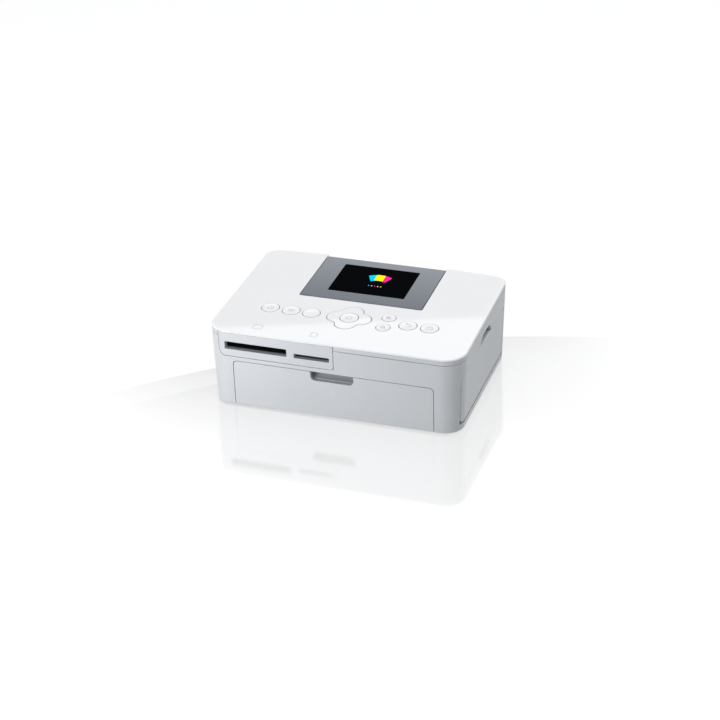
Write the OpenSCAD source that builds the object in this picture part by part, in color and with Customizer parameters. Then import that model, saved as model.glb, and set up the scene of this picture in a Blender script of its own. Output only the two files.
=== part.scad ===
// Compact photo printer: casing, doors, tilting display, keys, paper feed and ink-cassette drive.
// Millimetres, +Z up, front towards -Y. The origin is on the table under the middle of the casing.

/* [Body] */
// Width of the casing, side to side
body_w = 178; // [176:1:184]
// Depth of the casing, front to rear
body_d = 127; // [126:1:132]
// Height of the top's front edge above the table
front_h = 56.5; // [56:0.5:60]
// Height of the top's rear edge above the table
rear_h = 60.5; // [60:0.5:63]
// Height of the feet, which is the gap under the casing
foot_h = 1.2; // [1:0.1:3]
// Wall thickness of the casing
wall = 2.2; // [1.8:0.1:2.6]
// Thickness of the top cover
cover_t = 2; // [1.6:0.1:2.4]
// How far each side wall leans in towards the bottom
draft = 1.6; // [0.4:0.1:2.2]
// Plan radius of the two front corners
front_r = 15; // [12:0.5:17]
// Plan radius of the two rear corners
rear_r = 10; // [8:0.5:12]
// How far the middle of the rear wall bows out
rear_bow = 2.7; // [0.5:0.1:3.5]
// Radius along the edge of the top
edge_r = 1.2; // [0.6:0.1:1.8]
// Depth of the top cover's skirt
skirt_h = 4.2; // [3.4:0.1:5]
// Gap between neighbouring outer pieces
seam = 0.3; // [0.2:0.05:0.4]

/* [Card plate] */
// Distance of the card plate from the left side
plate_left = 8.8; // [8:0.1:12]
// Width of the card plate
plate_w = 81.5; // [80:0.5:86]
// Height of the card plate's lower edge
plate_z = 37.8; // [37:0.1:39]
// Width of the large card slot
cf_slot_w = 44; // [43.5:0.1:45]
// Width of the small card slot
sd_slot_w = 24.6; // [24.4:0.1:25.5]
// Height of the large card slot
cf_slot_h = 5.6; // [5:0.1:6]
// Height of the small card slot
sd_slot_h = 3.2; // [2.8:0.1:3.6]

/* [Doors] */
// Distance of the paper door from each side of the casing
paper_door_side = 19; // [18:0.5:21]
// Height of the paper door's top edge
paper_door_top = 34.3; // [33:0.1:35]
// Width of the finger notch in the paper door
notch_w = 30; // [24:1:36]
// Depth of the finger notch in the paper door
notch_h = 6.5; // [5:0.5:8]
// Thickness of both doors
door_t = 2.4; // [2:0.1:2.8]
// Distance of the ink door's front edge from the front of the casing
ink_door_front = 8; // [7:0.5:10]
// Distance of the ink door's rear edge from the rear of the casing
ink_door_rear = 13.5; // [12:0.5:17]
// Height of the ink door's top edge
ink_door_top = 42.2; // [41:0.1:43]
// Height of the ink door's bottom edge
ink_door_bottom = 6.4; // [6:0.1:7]

/* [Display] */
// Width of the display frame
lcd_w = 88; // [84:1:92]
// Length of the display frame, front to rear
lcd_l = 64.4; // [62:0.2:66]
// Width of the display window
window_w = 54.8; // [50:0.2:58]
// Distance of the window from the frame's front edge
window_front = 12.4; // [10:0.2:14]
// Distance of the window from the frame's rear edge
window_rear = 12; // [10:0.2:15]

/* [Keys] */
// Gap between the four-way pad and the display
pad_gap = 7.5; // [6.5:0.1:8.5]
// Diameter of the large round keys
key_d = 12; // [10:0.2:12.4]
// Diameter of the two small zoom keys
zoom_d = 9.4; // [8:0.2:10]
// Gap round each key
key_gap = 0.35; // [0.25:0.05:0.5]
// Travel of a key
key_travel = 0.5; // [0.3:0.1:0.6]
// Distance of the four-way pad's lobes from its centre
lobe_at = 8.2; // [7.8:0.1:8.6]
// Radius of each lobe of the four-way pad
lobe_r = 7.3; // [7:0.1:7.6]
// Diameter of the key in the middle of the four-way pad
ok_d = 12.4; // [11:0.2:13]

/* [Paper feed] */
// Height of the paper bay above the base plate
bay_h = 30.8; // [30:0.1:31.4]
// Distance of the paper bay from each side of the casing
bay_side = 21; // [20.5:0.5:23]
// Radius of the platen roller
platen_r = 5; // [4.6:0.1:5.2]
// Radius of the capstan roller and of the pinch roller
capstan_r = 2.7; // [2.4:0.1:3]
// Radius of the pick-up tyres
pickup_r = 8; // [7:0.1:8.4]

/* [Ink cassette] */
// Radius of the full supply roll
supply_r = 10.5; // [9:0.1:10.6]
// Radius of the take-up roll
takeup_r = 8.5; // [7:0.1:8.6]
// Distance between the two rolls
spool_pitch = 38.5; // [38:0.1:39.5]

/* [Gears] */
// Module of all gears
gear_m = 0.7; // [0.68:0.01:0.71]
// Play between meshing teeth
backlash = 0.16; // [0.12:0.01:0.24]

/* [Hidden] */
$fn = 48;
EPS = 0.01;

// Casing
front_y = -body_d / 2;
rear_y = body_d / 2;
slope = atan((rear_h - front_h) / body_d);
bottom_z = foot_h;
base_t = 2.2;
floor_z = bottom_z + base_t;
fit = 0.15;
far = 400;
function top_z(y) = front_h + (y - front_y) * tan(slope);

// Case screws and the posts that they hold
boss_r = 3;
screw_r = 1.3;
boss_split = 12;
bosses = [[-body_w / 2 + 9.3, front_y + 13.5], [body_w / 2 - 12.5, front_y + 13.5],
    [-body_w / 2 + 10, rear_y - 14], [body_w / 2 - 11.7, rear_y - 18.5]];

// Doors
paper_door_w = body_w - 2 * paper_door_side;
paper_pivot = [front_y + 3.7, bottom_z + 3.2];
ink_pivot = [body_w / 2 - 4.6, ink_door_bottom + 2.6];
door_sweep = 4.4;
ink_sweep = 5;
door_corner_r = 3;
pin_r = 1.2;
pin_play = 0.05;
pin_l = 2;
hinge_boss_w = 2.6;
ink_door_y0 = front_y + ink_door_front;
ink_door_y1 = rear_y - ink_door_rear;
ink_lugs = [ink_door_y0 + 12, ink_door_y1 - 14];
lug_t = 2;
lug_r = 2;

// Display
lcd_rear = rear_y - 0.6;
lcd_front = lcd_rear - lcd_l;
lcd_pivot_r = 1.8;
lcd_pivot_y = lcd_front + lcd_pivot_r;
lcd_pivot_z = top_z(lcd_pivot_y) - lcd_pivot_r / cos(slope);
lcd_depth = 6.6;
lcd_wall = 1.5;
lcd_back_t = 1.2;
lcd_rear_r = 5;
lcd_pin_r = 0.8;
window_l = lcd_l - window_front - window_rear;
window_t = 1.2;
tray_t = 1.2;
tray_gap = 0.8;

// Keys
key_y = lcd_front - pad_gap - lobe_at - lobe_r;
keys_left = [-56.5, -41.5, -27];
keys_right = [41.3, 56.3];
zoom_x = 26;
zoom_pitch = 13.5;
flange_gap = 0.4;
flange_t = 0.8;
flange_w = 0.8;
key_proud = 0.25;
plunger_l = 0.8;
plunger_r = 1.6;
lobe_fillet = 3;
key_bottom = cover_t + flange_gap + flange_t + plunger_l;
mat_top = key_bottom + key_travel + 0.25;
dome_h = 0.9;
mat_t = 1;
mat_w = 128;
mat_l = 33;
board_rim = 1;
board_t = 1.5;
mat_at = mat_top + dome_h;
key_board_at = mat_at + mat_t;

// Paper bay, cards and main board
bay_w = body_w - 2 * bay_side;
bay_y0 = front_y + 8.4;
bay_top = floor_z + bay_h;
frame_t = 1.5;
slot_low = 43;
main_board_z = slot_low - 0.8;
socket_t = 0.8;
socket_play = 0.3;
cf_x = -body_w / 2 + plate_left + 4.7 + cf_slot_w / 2;
sd_x = -body_w / 2 + plate_left + plate_w - 2.8 - sd_slot_w / 2;

// Chassis, rollers and ink cassette
left_x = -body_w / 2 + 27;
right_x = body_w / 2 - 22;
sheet_t = 1.2;
mech_rear = rear_y;
shell_t = 1;
spool_play = 0.5;
capstan_at = [mech_rear - 15, floor_z + 9.8];
takeup_at = [mech_rear - 27.5, floor_z + 23.6];
supply_at = [takeup_at[0] - spool_pitch, takeup_at[1]];
platen_at = [takeup_at[0] - 18, floor_z + 7.1];
paper_z = platen_at[1] + platen_r;
pinch_at = [capstan_at[0], capstan_at[1] + 2 * capstan_r + 0.3];
bay_y1 = supply_at[0] - supply_r - spool_play - shell_t - 0.5;
pickup_at = [bay_y1 - pickup_r - 0.8, floor_z + 22];
pickup_axle_r = 2;
shaft_r = 2;
run_play = 0.05;
cassette_x0 = left_x + sheet_t + 1.6;
cassette_x1 = right_x - 1.2;
cassette_end_t = 2;
roll_inset = 9;
roll_core_r = 4;
roll_pin_r = 3;
grip_l = 9;
grip_t = 2.4;
film_t = 0.3;
roller_inset = 4;
rib_inset = 10;

// Print head
arm_z = floor_z + 42.4;
sink_z = paper_z + 6.2;
sink_x0 = left_x + 10;
sink_x1 = right_x - 15;
sink_foot_t = 3;
head_pivot = [mech_rear - 11.5, arm_z - 4.5];
cam_at = [takeup_at[0] - 4, arm_z - 3.7];
cam_base_r = 2;
cam_tip_r = 0.8;
cam_tip_at = 2.6;
head_y = platen_at[0];
head_w = 9;
head_t = 1.4;
head_tip_z = sink_z - 3;
sink_w = 11;

// Gears, in two layers beside the left chassis plate
pinion_n = 12;
idler_big_n = 24;
idler_small_n = 14;
capstan_n = 24;
spindle_n = 26;
cam_n = 30;
layer_w = 3.4;
layer_1 = left_x - 0.8 - layer_w;
layer_2 = layer_1 - 0.4 - layer_w;
bracket_x = layer_2 - 0.8 - sheet_t;
function pitch_r(n) = n * gear_m / 2;
function reach(a, b) = pitch_r(a) + pitch_r(b);
// The idler meshes with both the spindle's and the capstan's gear, and lies below the line between them
idler_a = reach(idler_small_n, spindle_n);
idler_b = reach(idler_small_n, capstan_n);
centre_d = norm(capstan_at - takeup_at);
along = (idler_a * idler_a - idler_b * idler_b + centre_d * centre_d) / (2 * centre_d);
aside = sqrt(idler_a * idler_a - along * along);
unit = (capstan_at - takeup_at) / centre_d;
idler_at = takeup_at + unit * along + [unit[1], -unit[0]] * aside;
feed_at = idler_at + reach(idler_big_n, pinion_n) * [cos(135), sin(135)];
head_motor_at = cam_at - [reach(cam_n, pinion_n), 0];
feed_motor_r = 12.5;
head_motor_r = 6.2;
motor_shaft_r = 1;
post_r = 1.4;

// Fan, inlet and rear openings
fan_size = 25;
fan_t = 7;
fan_x = 34;
fan_z = floor_z + 33;
dc_x = body_w / 2 - 13.5;
dc_z = floor_z + 8;
exit_w = 108;
exit_z = paper_z - 2;
exit_h = 6;
usb_y = front_y + 36;

// --- Shared forms ---

// Thin discs whose hull is the casing's outline, drawn in by inset
module outline_discs(inset, z)
{
    for (s = [-1, 1])
        translate([s * (body_w / 2 - front_r), front_y + front_r, z])
            cylinder(r = front_r - inset, h = EPS);
    for (s = [-1:0.25:1])
        translate([s * (body_w / 2 - rear_r), rear_y - rear_r - rear_bow * s * s, z])
            cylinder(r = rear_r - inset, h = EPS);
}

// The casing as a solid: leaning sides, sloping top and a rounded top edge
module casing_form(inset = 0, drop = 0, from_z = bottom_z)
{
    hull() {
        outline_discs(inset + draft, from_z);
        multmatrix([[1, 0, 0, 0], [0, 1, 0, 0], [0, tan(slope), 1, top_z(0) - drop - EPS], [0, 0, 0, 1]])
            for (a = [0:22.5:90])
                outline_discs(inset + edge_r * (1 - cos(a)), edge_r * (sin(a) - 1));
    }
}

// Everything above a plane that lies below the top and slopes with it
module above(depth)
{
    translate([0, 0, top_z(0) - depth])
        rotate([slope, 0, 0])
            translate([-far / 2, -far / 2, 0])
                cube([far, far, far / 4]);
}

// A place on the sloping top, with its own Z square to the top
module on_top(x, y, depth = 0)
{
    translate([x, y, top_z(y)])
        rotate([slope, 0, 0])
            translate([0, 0, -depth])
                children();
}

// A block given by its two corners
module block(lo, hi)
{
    translate(lo)
        cube(hi - lo);
}

// A rounded rectangle in plan
module round_rect(w, l, r)
{
    translate([-w / 2 + r, -l / 2])
        square([w - 2 * r, l]);
    translate([-w / 2, -l / 2 + r])
        square([w, l - 2 * r]);
    for (sx = [-1, 1], sy = [-1, 1])
        translate([sx * (w / 2 - r), sy * (l / 2 - r)])
            circle(r);
}

// A rod along X between two places
module rod(at, x0, x1, r)
{
    translate([x0, at[0], at[1]])
        rotate([0, 90, 0])
            cylinder(r = r, h = x1 - x0);
}

// A flat shape in the YZ plane, pushed out along X
module slab_x(x0, x1)
{
    translate([x0, 0, 0])
        rotate([90, 0, 90])
            linear_extrude(x1 - x0)
                children();
}

// A flat shape in the XZ plane, pushed out along Y
module slab_y(y0, y1)
{
    translate([0, y1, 0])
        rotate([90, 0, 0])
            linear_extrude(y1 - y0)
                children();
}

// A spur gear with involute flanks, thinned by half the play on each side
pressure = 20;
function inv_point(rb, r) =
    let (t = sqrt(pow(r / rb, 2) - 1))
    [r, t * 180 / PI - atan(t)];
module gear_outline(n)
{
    rp = pitch_r(n);
    rb = rp * cos(pressure);
    ra = rp + gear_m * 0.9;
    rf = rp - gear_m * 1.15;
    half = 90 / n + inv_point(rb, rp)[1] - backlash / rp * 90 / PI;
    flank = [for (k = [0:3]) inv_point(rb, max(rb, rf) + (ra - max(rb, rf)) * k / 3)];
    polygon([for (i = [0:n - 1]) each [
        rf * [cos(360 * i / n - half), sin(360 * i / n - half)],
        each [for (p = flank) p[0] * [cos(360 * i / n - half + p[1]), sin(360 * i / n - half + p[1])]],
        each [for (k = [3:-1:0]) flank[k][0] * [cos(360 * i / n + half - flank[k][1]),
            sin(360 * i / n + half - flank[k][1])]],
        rf * [cos(360 * i / n + half), sin(360 * i / n + half)]]]);
}

// A gear on a line along X, turned so that its teeth meet its neighbour's
module gear_x(at, x0, n, turn = 0)
{
    translate([x0, at[0], at[1]])
        rotate([90, 0, 90])
            rotate(turn)
                linear_extrude(layer_w)
                    gear_outline(n);
}
function heading(from, to) = atan2(to[1] - from[1], to[0] - from[0]);

// --- Casing ---

module lcd_opening()
{
    block([-lcd_w / 2 - seam, lcd_front - seam, floor_z], [lcd_w / 2 + seam, rear_y + 10, far / 4]);
}

module plate_block(gap, z_top)
{
    x0 = -body_w / 2 + plate_left;
    x1 = x0 + plate_w;
    slab_y(front_y - 1, front_y + 9)
        difference() {
            translate([x0 - gap, plate_z - gap])
                square([x1 - x0 + 2 * gap, z_top - plate_z + gap]);
            difference() {
                translate([x0 - gap, plate_z - gap])
                    square(5);
                translate([x0 - gap + 5, plate_z - gap + 5])
                    circle(5);
            }
        }
}

module pad_outline(grow)
{
    away = (2 * lobe_at * cos(45) + sqrt(pow(2 * lobe_at * cos(45), 2)
        + 4 * (pow(lobe_r + lobe_fillet, 2) - lobe_at * lobe_at))) / 2;
    difference() {
        union() {
            for (a = [0:90:270])
                rotate(a)
                    translate([lobe_at, 0])
                        circle(lobe_r + grow);
            polygon([for (a = [0:90:270]) each [lobe_at * [cos(a), sin(a)],
                away * [cos(a + 45), sin(a + 45)]]]);
        }
        for (a = [45:90:315])
            rotate(a)
                translate([away, 0])
                    circle(lobe_fillet - grow);
    }
}

module key_holes()
{
    for (x = concat(keys_left, keys_right))
        on_top(x, key_y, cover_t + 1)
            cylinder(d = key_d + 2 * key_gap, h = cover_t + 2);
    for (s = [-1, 1])
        on_top(zoom_x, key_y + s * zoom_pitch / 2, cover_t + 1)
            cylinder(d = zoom_d + 2 * key_gap, h = cover_t + 2);
    on_top(0, key_y, cover_t + 1)
        linear_extrude(cover_t + 2)
            pad_outline(key_gap);
}

module top_cover()
{
    boss_h = 4.4;
    color("white")
        difference() {
            union() {
                difference() {
                    casing_form();
                    casing_form(wall, cover_t, bottom_z - 1);
                    translate([0, 0, -far / 4])
                        above(skirt_h - seam / 2);
                    lcd_opening();
                    plate_block(seam, front_h - edge_r + 0.2);
                    key_holes();
                }
                // Posts for the case screws
                for (p = bosses)
                    translate([p[0], p[1], boss_split])
                        cylinder(r = boss_r, h = top_z(p[1]) - cover_t / 2 - boss_split);
                // Ears that hold the display's hinge pins
                for (s = [-1, 1])
                    on_top(s * (lcd_w / 2 + seam + 2.5), lcd_pivot_y, boss_h)
                        translate([-2.5, -2.6, 0])
                            cube([5, 5.2, boss_h - cover_t / 2]);
            }
            for (p = bosses)
                translate([p[0], p[1], boss_split - 1])
                    cylinder(r = screw_r, h = 12);
            for (s = [-1, 1])
                rod([lcd_pivot_y, lcd_pivot_z], s * (lcd_w / 2 + 2.2) - 2.2, s * (lcd_w / 2 + 2.2) + 2.2,
                    lcd_pin_r + pin_play);
        }
}

module paper_door_shape(gap)
{
    w = paper_door_w + 2 * gap;
    h = paper_door_top + gap;
    translate([-w / 2, -1])
        square([w, h - door_corner_r + 1]);
    translate([-w / 2 + door_corner_r, 0])
        square([w - 2 * door_corner_r, h]);
    for (s = [-1, 1])
        translate([s * (w / 2 - door_corner_r), h - door_corner_r])
            circle(door_corner_r);
}

module ink_door_shape(gap)
{
    y0 = ink_door_y0 - gap;
    y1 = ink_door_y1 + gap;
    z0 = ink_door_bottom - gap;
    z1 = ink_door_top + gap;
    r = 7;
    difference() {
        translate([y0, z0])
            square([y1 - y0, z1 - z0]);
        difference() {
            translate([y0 - 1, z1 - r])
                square(r + 1);
            translate([y0 + r, z1 - r])
                circle(r);
        }
        difference() {
            translate([y1 - 2, z1 - 2])
                square(3);
            translate([y1 - 2, z1 - 2])
                circle(2);
        }
    }
}

scoop_w = 28;
module main_housing()
{
    vent_n = 9;
    color("silver")
        difference() {
            union() {
                difference() {
                    casing_form();
                    casing_form(wall, cover_t, bottom_z - 1);
                }
                // Bosses beside the paper door that hold its hinge pins
                for (s = [-1, 1])
                    translate([s * (paper_door_w / 2 + seam + hinge_boss_w / 2), 0, 0])
                        block([-hinge_boss_w / 2, paper_pivot[0] - 1.4, bottom_z + 0.2],
                            [hinge_boss_w / 2, paper_pivot[0] + 2.4, paper_pivot[1] + 2.4]);
                // Backing of the finger scoop above the ink door
                block([body_w / 2 - 8.4, -scoop_w / 2 - 1.6, ink_door_top - 1.4],
                    [body_w / 2 - wall / 2 - draft / 2, scoop_w / 2 + 1.6, ink_door_top + 8.9]);
            }
            above(skirt_h + seam / 2);
            plate_block(seam, far / 4);
            // Paper door, with the room that it needs to swing
            slab_y(front_y - 1, front_y + 12)
                paper_door_shape(seam);
            rod(paper_pivot, -paper_door_w / 2 - seam, paper_door_w / 2 + seam, door_sweep);
            for (s = [-1, 1])
                rod(paper_pivot, s * paper_door_w / 2 - pin_l - 1, s * paper_door_w / 2 + pin_l + seam,
                    pin_r + pin_play);
            // Ink door: its opening, its swing and the scoop above it
            slab_x(body_w / 2 - 7.4, body_w / 2 + 1)
                ink_door_shape(seam);
            translate([ink_pivot[0], ink_door_y0 - seam, ink_pivot[1]])
                rotate([-90, 0, 0])
                    cylinder(r = ink_sweep, h = ink_door_y1 - ink_door_y0 + 2 * seam);
            intersection() {
                translate([body_w / 2 + 1.6, -scoop_w / 2, ink_door_top - 1.4])
                    rotate([-90, 0, 0])
                        cylinder(r = 8.8, h = scoop_w);
                block([body_w / 2 - 10, -scoop_w / 2, ink_door_top - 2],
                    [body_w / 2 + 2, scoop_w / 2, ink_door_top + 7.6]);
            }
            // Rear: paper exit, power inlet, air vents and the terminal cover's recess
            block([-exit_w / 2, rear_y - 12, exit_z], [exit_w / 2, rear_y + 1, exit_z + exit_h]);
            block([dc_x - 4.7, rear_y - 12, dc_z - 5.7], [dc_x + 4.7, rear_y + 1, dc_z + 5.7]);
            for (i = [0:vent_n - 1])
                block([fan_x + (i - (vent_n - 1) / 2) * 2.7 - 0.8, rear_y - 8, fan_z - 9],
                    [fan_x + (i - (vent_n - 1) / 2) * 2.7 + 0.8, rear_y + 1, fan_z + 9]);
            block([-46 - seam, rear_y - 8, 27 - seam], [-12 + seam, rear_y + 1, 43 + seam]);
            // Left side: camera port and air vents beside the motors
            block([-body_w / 2 - 1, usb_y - 5, main_board_z + 1.4],
                [-body_w / 2 + 6, usb_y + 5, main_board_z + 6.8]);
            for (i = [0:5])
                block([-body_w / 2 - 1, 14 + i * 5, 16], [-body_w / 2 + 6, 16 + i * 5, 34]);
        }
}

module base_plate()
{
    color("gainsboro")
        difference() {
            union() {
                intersection() {
                    casing_form(wall + fit, cover_t);
                    block([-body_w, -body_d, bottom_z], [body_w, body_d, floor_z]);
                }
                for (p = bosses)
                    translate([p[0], p[1], bottom_z])
                        cylinder(r = boss_r, h = boss_split - seam - bottom_z);
                // Lugs that hold the ink door's pins
                for (y = ink_lugs)
                    translate([ink_pivot[0], y - lug_t / 2, 0])
                        rotate([-90, 0, 0])
                            difference() {
                                union() {
                                    translate([0, -ink_pivot[1], 0])
                                        cylinder(r = lug_r, h = lug_t);
                                    translate([-7, -ink_pivot[1] - lug_r, 0])
                                        cube([7, 2.4, lug_t]);
                                    translate([-7, -ink_pivot[1] - lug_r, 0])
                                        cube([3, ink_pivot[1] + lug_r - floor_z + 0.5, lug_t]);
                                }
                                translate([0, -ink_pivot[1], -1])
                                    cylinder(r = pin_r + pin_play, h = lug_t + 2);
                            }
            }
            // Room for the paper door's swing
            block([-paper_door_w / 2 - 3.3, front_y - 1, 0],
                [paper_door_w / 2 + 3.3, paper_pivot[0] + door_sweep, floor_z + 1]);
            // Screws come in from below, and the feet sit in shallow wells
            for (p = bosses)
                translate([p[0], p[1], 0]) {
                    cylinder(r = screw_r + 0.3, h = boss_split);
                    cylinder(r = 2.9, h = bottom_z + 2);
                }
            foot_places()
                cylinder(r = 6.3, h = 0.8 + bottom_z);
            for (i = [-4:4])
                block([i * 6 - 1.2, 8, 0], [i * 6 + 1.2, 22, floor_z + 1]);
        }
}

module foot_places()
{
    for (x = [-body_w / 2 + 26, body_w / 2 - 26], y = [front_y + 19, rear_y - 18])
        translate([x, y, 0])
            children();
}

module rubber_feet()
{
    color("dimgray")
        foot_places() {
            cylinder(r1 = 5.2, r2 = 6, h = bottom_z);
            cylinder(r = 6, h = bottom_z + 0.8);
        }
}

module case_screws()
{
    color("silver")
        for (p = bosses)
            translate([p[0], p[1], bottom_z + 0.6])
                difference() {
                    union() {
                        cylinder(r = 2.6, h = 1.4);
                        cylinder(r = screw_r, h = boss_split + 8 - bottom_z);
                    }
                    translate([0, 0, -EPS])
                        cylinder(r = 1.1, h = 0.8, $fn = 6);
                }
}

module terminal_cover()
{
    color("silver")
        union() {
            intersection() {
                difference() {
                    casing_form();
                    casing_form(wall, cover_t, bottom_z - 1);
                }
                block([-46, rear_y - 8, 27], [-12, rear_y + 1, 43]);
            }
            // Snap tongues behind the housing's wall
            for (x = [-40, -18])
                block([x - 3, rear_y - 5.2, 24.5], [x + 3, rear_y - 4, 45.5]);
            for (x = [-40, -18])
                block([x - 3, rear_y - 4.4, 28], [x + 3, rear_y - 2.4, 42]);
        }
}

module card_slot_plate()
{
    cf_x0 = cf_x - cf_slot_w / 2;
    sd_x0 = sd_x - sd_slot_w / 2;
    color("silver")
        difference() {
            intersection() {
                difference() {
                    casing_form();
                    casing_form(wall - 0.2, cover_t, bottom_z - 1);
                }
                plate_block(0, front_h - edge_r);
            }
            // Card slots
            block([cf_x0, front_y - 1, slot_low], [cf_x0 + cf_slot_w, front_y + 12, slot_low + cf_slot_h]);
            block([sd_x0, front_y - 1, slot_low], [sd_x0 + sd_slot_w, front_y + 12, slot_low + sd_slot_h]);
        }
}

module paper_door()
{
    color("silver")
        union() {
            intersection() {
                difference() {
                    casing_form();
                    casing_form(door_t, cover_t, bottom_z - 1);
                }
                slab_y(front_y - 1, front_y + 8)
                    difference() {
                        paper_door_shape(0);
                        // Finger notch in the top edge
                        translate([0, paper_door_top + notch_h])
                            round_rect(notch_w, notch_h * 4, door_corner_r);
                    }
            }
            for (s = [-1, 1])
                rod(paper_pivot, s * paper_door_w / 2 - pin_l, s * paper_door_w / 2 + pin_l, pin_r);
            // Stiffening ribs inside the door
            for (x = [-50, -25, 25, 50])
                block([x - 0.6, front_y + 2.2, 6], [x + 0.6, front_y + 4.4, paper_door_top - 2]);
        }
}

module ink_door()
{
    color("silver")
        union() {
            difference() {
                intersection() {
                    difference() {
                        casing_form();
                        casing_form(door_t, cover_t, bottom_z - 1);
                    }
                    slab_x(body_w / 2 - 7, body_w / 2 + 1)
                        ink_door_shape(0);
                }
                // Relief round the lugs that hold the door
                for (y = ink_lugs)
                    translate([ink_pivot[0], y - lug_t / 2 - seam, ink_pivot[1]])
                        rotate([-90, 0, 0])
                            cylinder(r = lug_r + 0.35, h = lug_t + 2 * seam);
            }
            for (y = ink_lugs) {
                translate([ink_pivot[0], y + lug_t / 2 + 0.3, ink_pivot[1]])
                    rotate([-90, 0, 0])
                        cylinder(r = 2, h = 2.6);
                block([ink_pivot[0], y + lug_t / 2 + 0.3, ink_pivot[1] - 2],
                    [ink_pivot[0] + 2.2, y + lug_t / 2 + 2.9, ink_pivot[1] + 2]);
                translate([ink_pivot[0], y - lug_t / 2, ink_pivot[1]])
                    rotate([-90, 0, 0])
                        cylinder(r = pin_r, h = lug_t + 1);
            }
            for (y = [-30, -5, 20])
                block([body_w / 2 - 4.6, y - 0.6, 14], [body_w / 2 - 3, y + 0.6, ink_door_top - 3]);
            // Ledge at the foot of the finger scoop
            block([body_w / 2 - 6, -scoop_w / 2 + 1, ink_door_top - 1.7],
                [body_w / 2 - 2, scoop_w / 2 - 1, ink_door_top - 0.2]);
        }
}

// --- Display ---

// Places its children on the display's hinge line, with Y along the sloping top
module lcd_place()
{
    translate([0, lcd_pivot_y, lcd_pivot_z])
        rotate([slope, 0, 0])
            children();
}

lcd_len = lcd_l / cos(slope) - lcd_pivot_r;
lcd_in = lcd_len - wall - 2.2;
module lcd_profile()
{
    top = lcd_pivot_r;
    low = lcd_pivot_r - lcd_depth;
    rear_low = lcd_pivot_r - skirt_h + seam / 2;
    polygon(concat(
        [for (a = [270:-15:90]) lcd_pivot_r * [cos(a), sin(a)]],
        [for (a = [90:-10:30]) [lcd_len - lcd_rear_r, top - lcd_rear_r] + lcd_rear_r * [cos(a), sin(a)]],
        [[lcd_len, rear_low], [lcd_in, rear_low], [lcd_in, low], [6, low]]));
}

module lcd_frame()
{
    color("slategray")
        lcd_place()
            difference() {
                intersection() {
                    slab_x(-lcd_w / 2, lcd_w / 2)
                        lcd_profile();
                    translate([0, lcd_l / 2 - lcd_pivot_r, -20])
                        linear_extrude(40)
                            round_rect(lcd_w, lcd_l + 1, 2);
                }
                // Hollow for the display, closed from below by the back cover
                block([-lcd_w / 2 + lcd_wall, 6, -lcd_depth],
                    [lcd_w / 2 - lcd_wall, lcd_in - lcd_wall, lcd_pivot_r - lcd_wall]);
                translate([0, window_front - lcd_pivot_r + window_l / 2, 0])
                    linear_extrude(lcd_depth)
                        round_rect(window_w + 2 * fit, window_l + 2 * fit, 0.6);
                rod([0, 0], -lcd_w / 2 - 1, -lcd_w / 2 + 5, lcd_pin_r);
                rod([0, 0], lcd_w / 2 - 5, lcd_w / 2 + 1, lcd_pin_r);
            }
}

module lcd_window()
{
    color("black")
        lcd_place()
            translate([0, window_front - lcd_pivot_r + window_l / 2, lcd_pivot_r - window_t - 0.1])
                linear_extrude(window_t)
                    round_rect(window_w, window_l, 0.5);
}

module lcd_module()
{
    z0 = lcd_pivot_r - lcd_depth + lcd_back_t + 0.1;
    z1 = lcd_pivot_r - window_t - 0.3;
    color("dimgray")
        lcd_place()
            block([-window_w / 2 - 2.5, window_front - lcd_pivot_r - 2, z0],
                [window_w / 2 + 2.5, window_front - lcd_pivot_r + window_l + 3, z1]);
}

module lcd_back_cover()
{
    z0 = lcd_pivot_r - lcd_depth;
    y0 = 6.1;
    y1 = lcd_in - lcd_wall - 0.1;
    color("gray")
        lcd_place()
            difference() {
                block([-lcd_w / 2 + lcd_wall + 0.1, y0, z0],
                    [lcd_w / 2 - lcd_wall - 0.1, y1, z0 + lcd_back_t]);
                for (i = [-3:3])
                    block([i * 8 - 2.5, y0 + 12, z0 - 1], [i * 8 + 2.5, y0 + 13, z0 + 0.5]);
            }
}

module lcd_hinge_pins()
{
    color("silver")
        for (s = [-1, 1])
            translate([s * (lcd_w / 2 - 0.6), 0, 0])
                rod([lcd_pivot_y, lcd_pivot_z], -4.3, 4.3, lcd_pin_r);
}

module display_tray()
{
    w = lcd_w / 2 + seam + 0.9;
    y0 = lcd_pivot_r + 3.6;
    y1 = lcd_in - 1;
    z0 = lcd_pivot_r - lcd_depth - tray_gap - tray_t;
    color("darkgray")
        lcd_place()
            union() {
                block([-w - tray_t, y0, z0], [w + tray_t, y1, z0 + tray_t]);
                for (s = [-1, 1])
                    translate([s * (w + tray_t / 2), 0, 0])
                        block([-tray_t / 2, y0, z0], [tray_t / 2, y1, lcd_pivot_r - cover_t - 0.1]);
                block([-w, y0, z0 - 1], [w, y0 + 1, z0]);
            }
}

// --- Keys ---

module round_key(d)
{
    top = key_proud;
    c = 0.3;
    z_flange = -cover_t - flange_gap - flange_t;
    rotate_extrude()
        polygon([[0, top], [d / 2 - c, top], [d / 2, top - c], [d / 2, z_flange + flange_t],
            [d / 2 + flange_w, z_flange + flange_t], [d / 2 + flange_w, z_flange],
            [plunger_r, z_flange], [plunger_r, z_flange - plunger_l], [0, z_flange - plunger_l]]);
}

module power_button()
{
    color("white")
        on_top(keys_left[0], key_y)
            round_key(key_d);
}

module menu_button()
{
    color("white")
        on_top(keys_left[1], key_y)
            round_key(key_d);
}

module edit_button()
{
    color("white")
        on_top(keys_left[2], key_y)
            round_key(key_d);
}

module back_button()
{
    color("white")
        on_top(keys_right[0], key_y)
            round_key(key_d);
}

module print_button()
{
    color("white")
        on_top(keys_right[1], key_y)
            round_key(key_d);
}

module zoom_in_button()
{
    color("white")
        on_top(zoom_x, key_y + zoom_pitch / 2)
            round_key(zoom_d);
}

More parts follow.
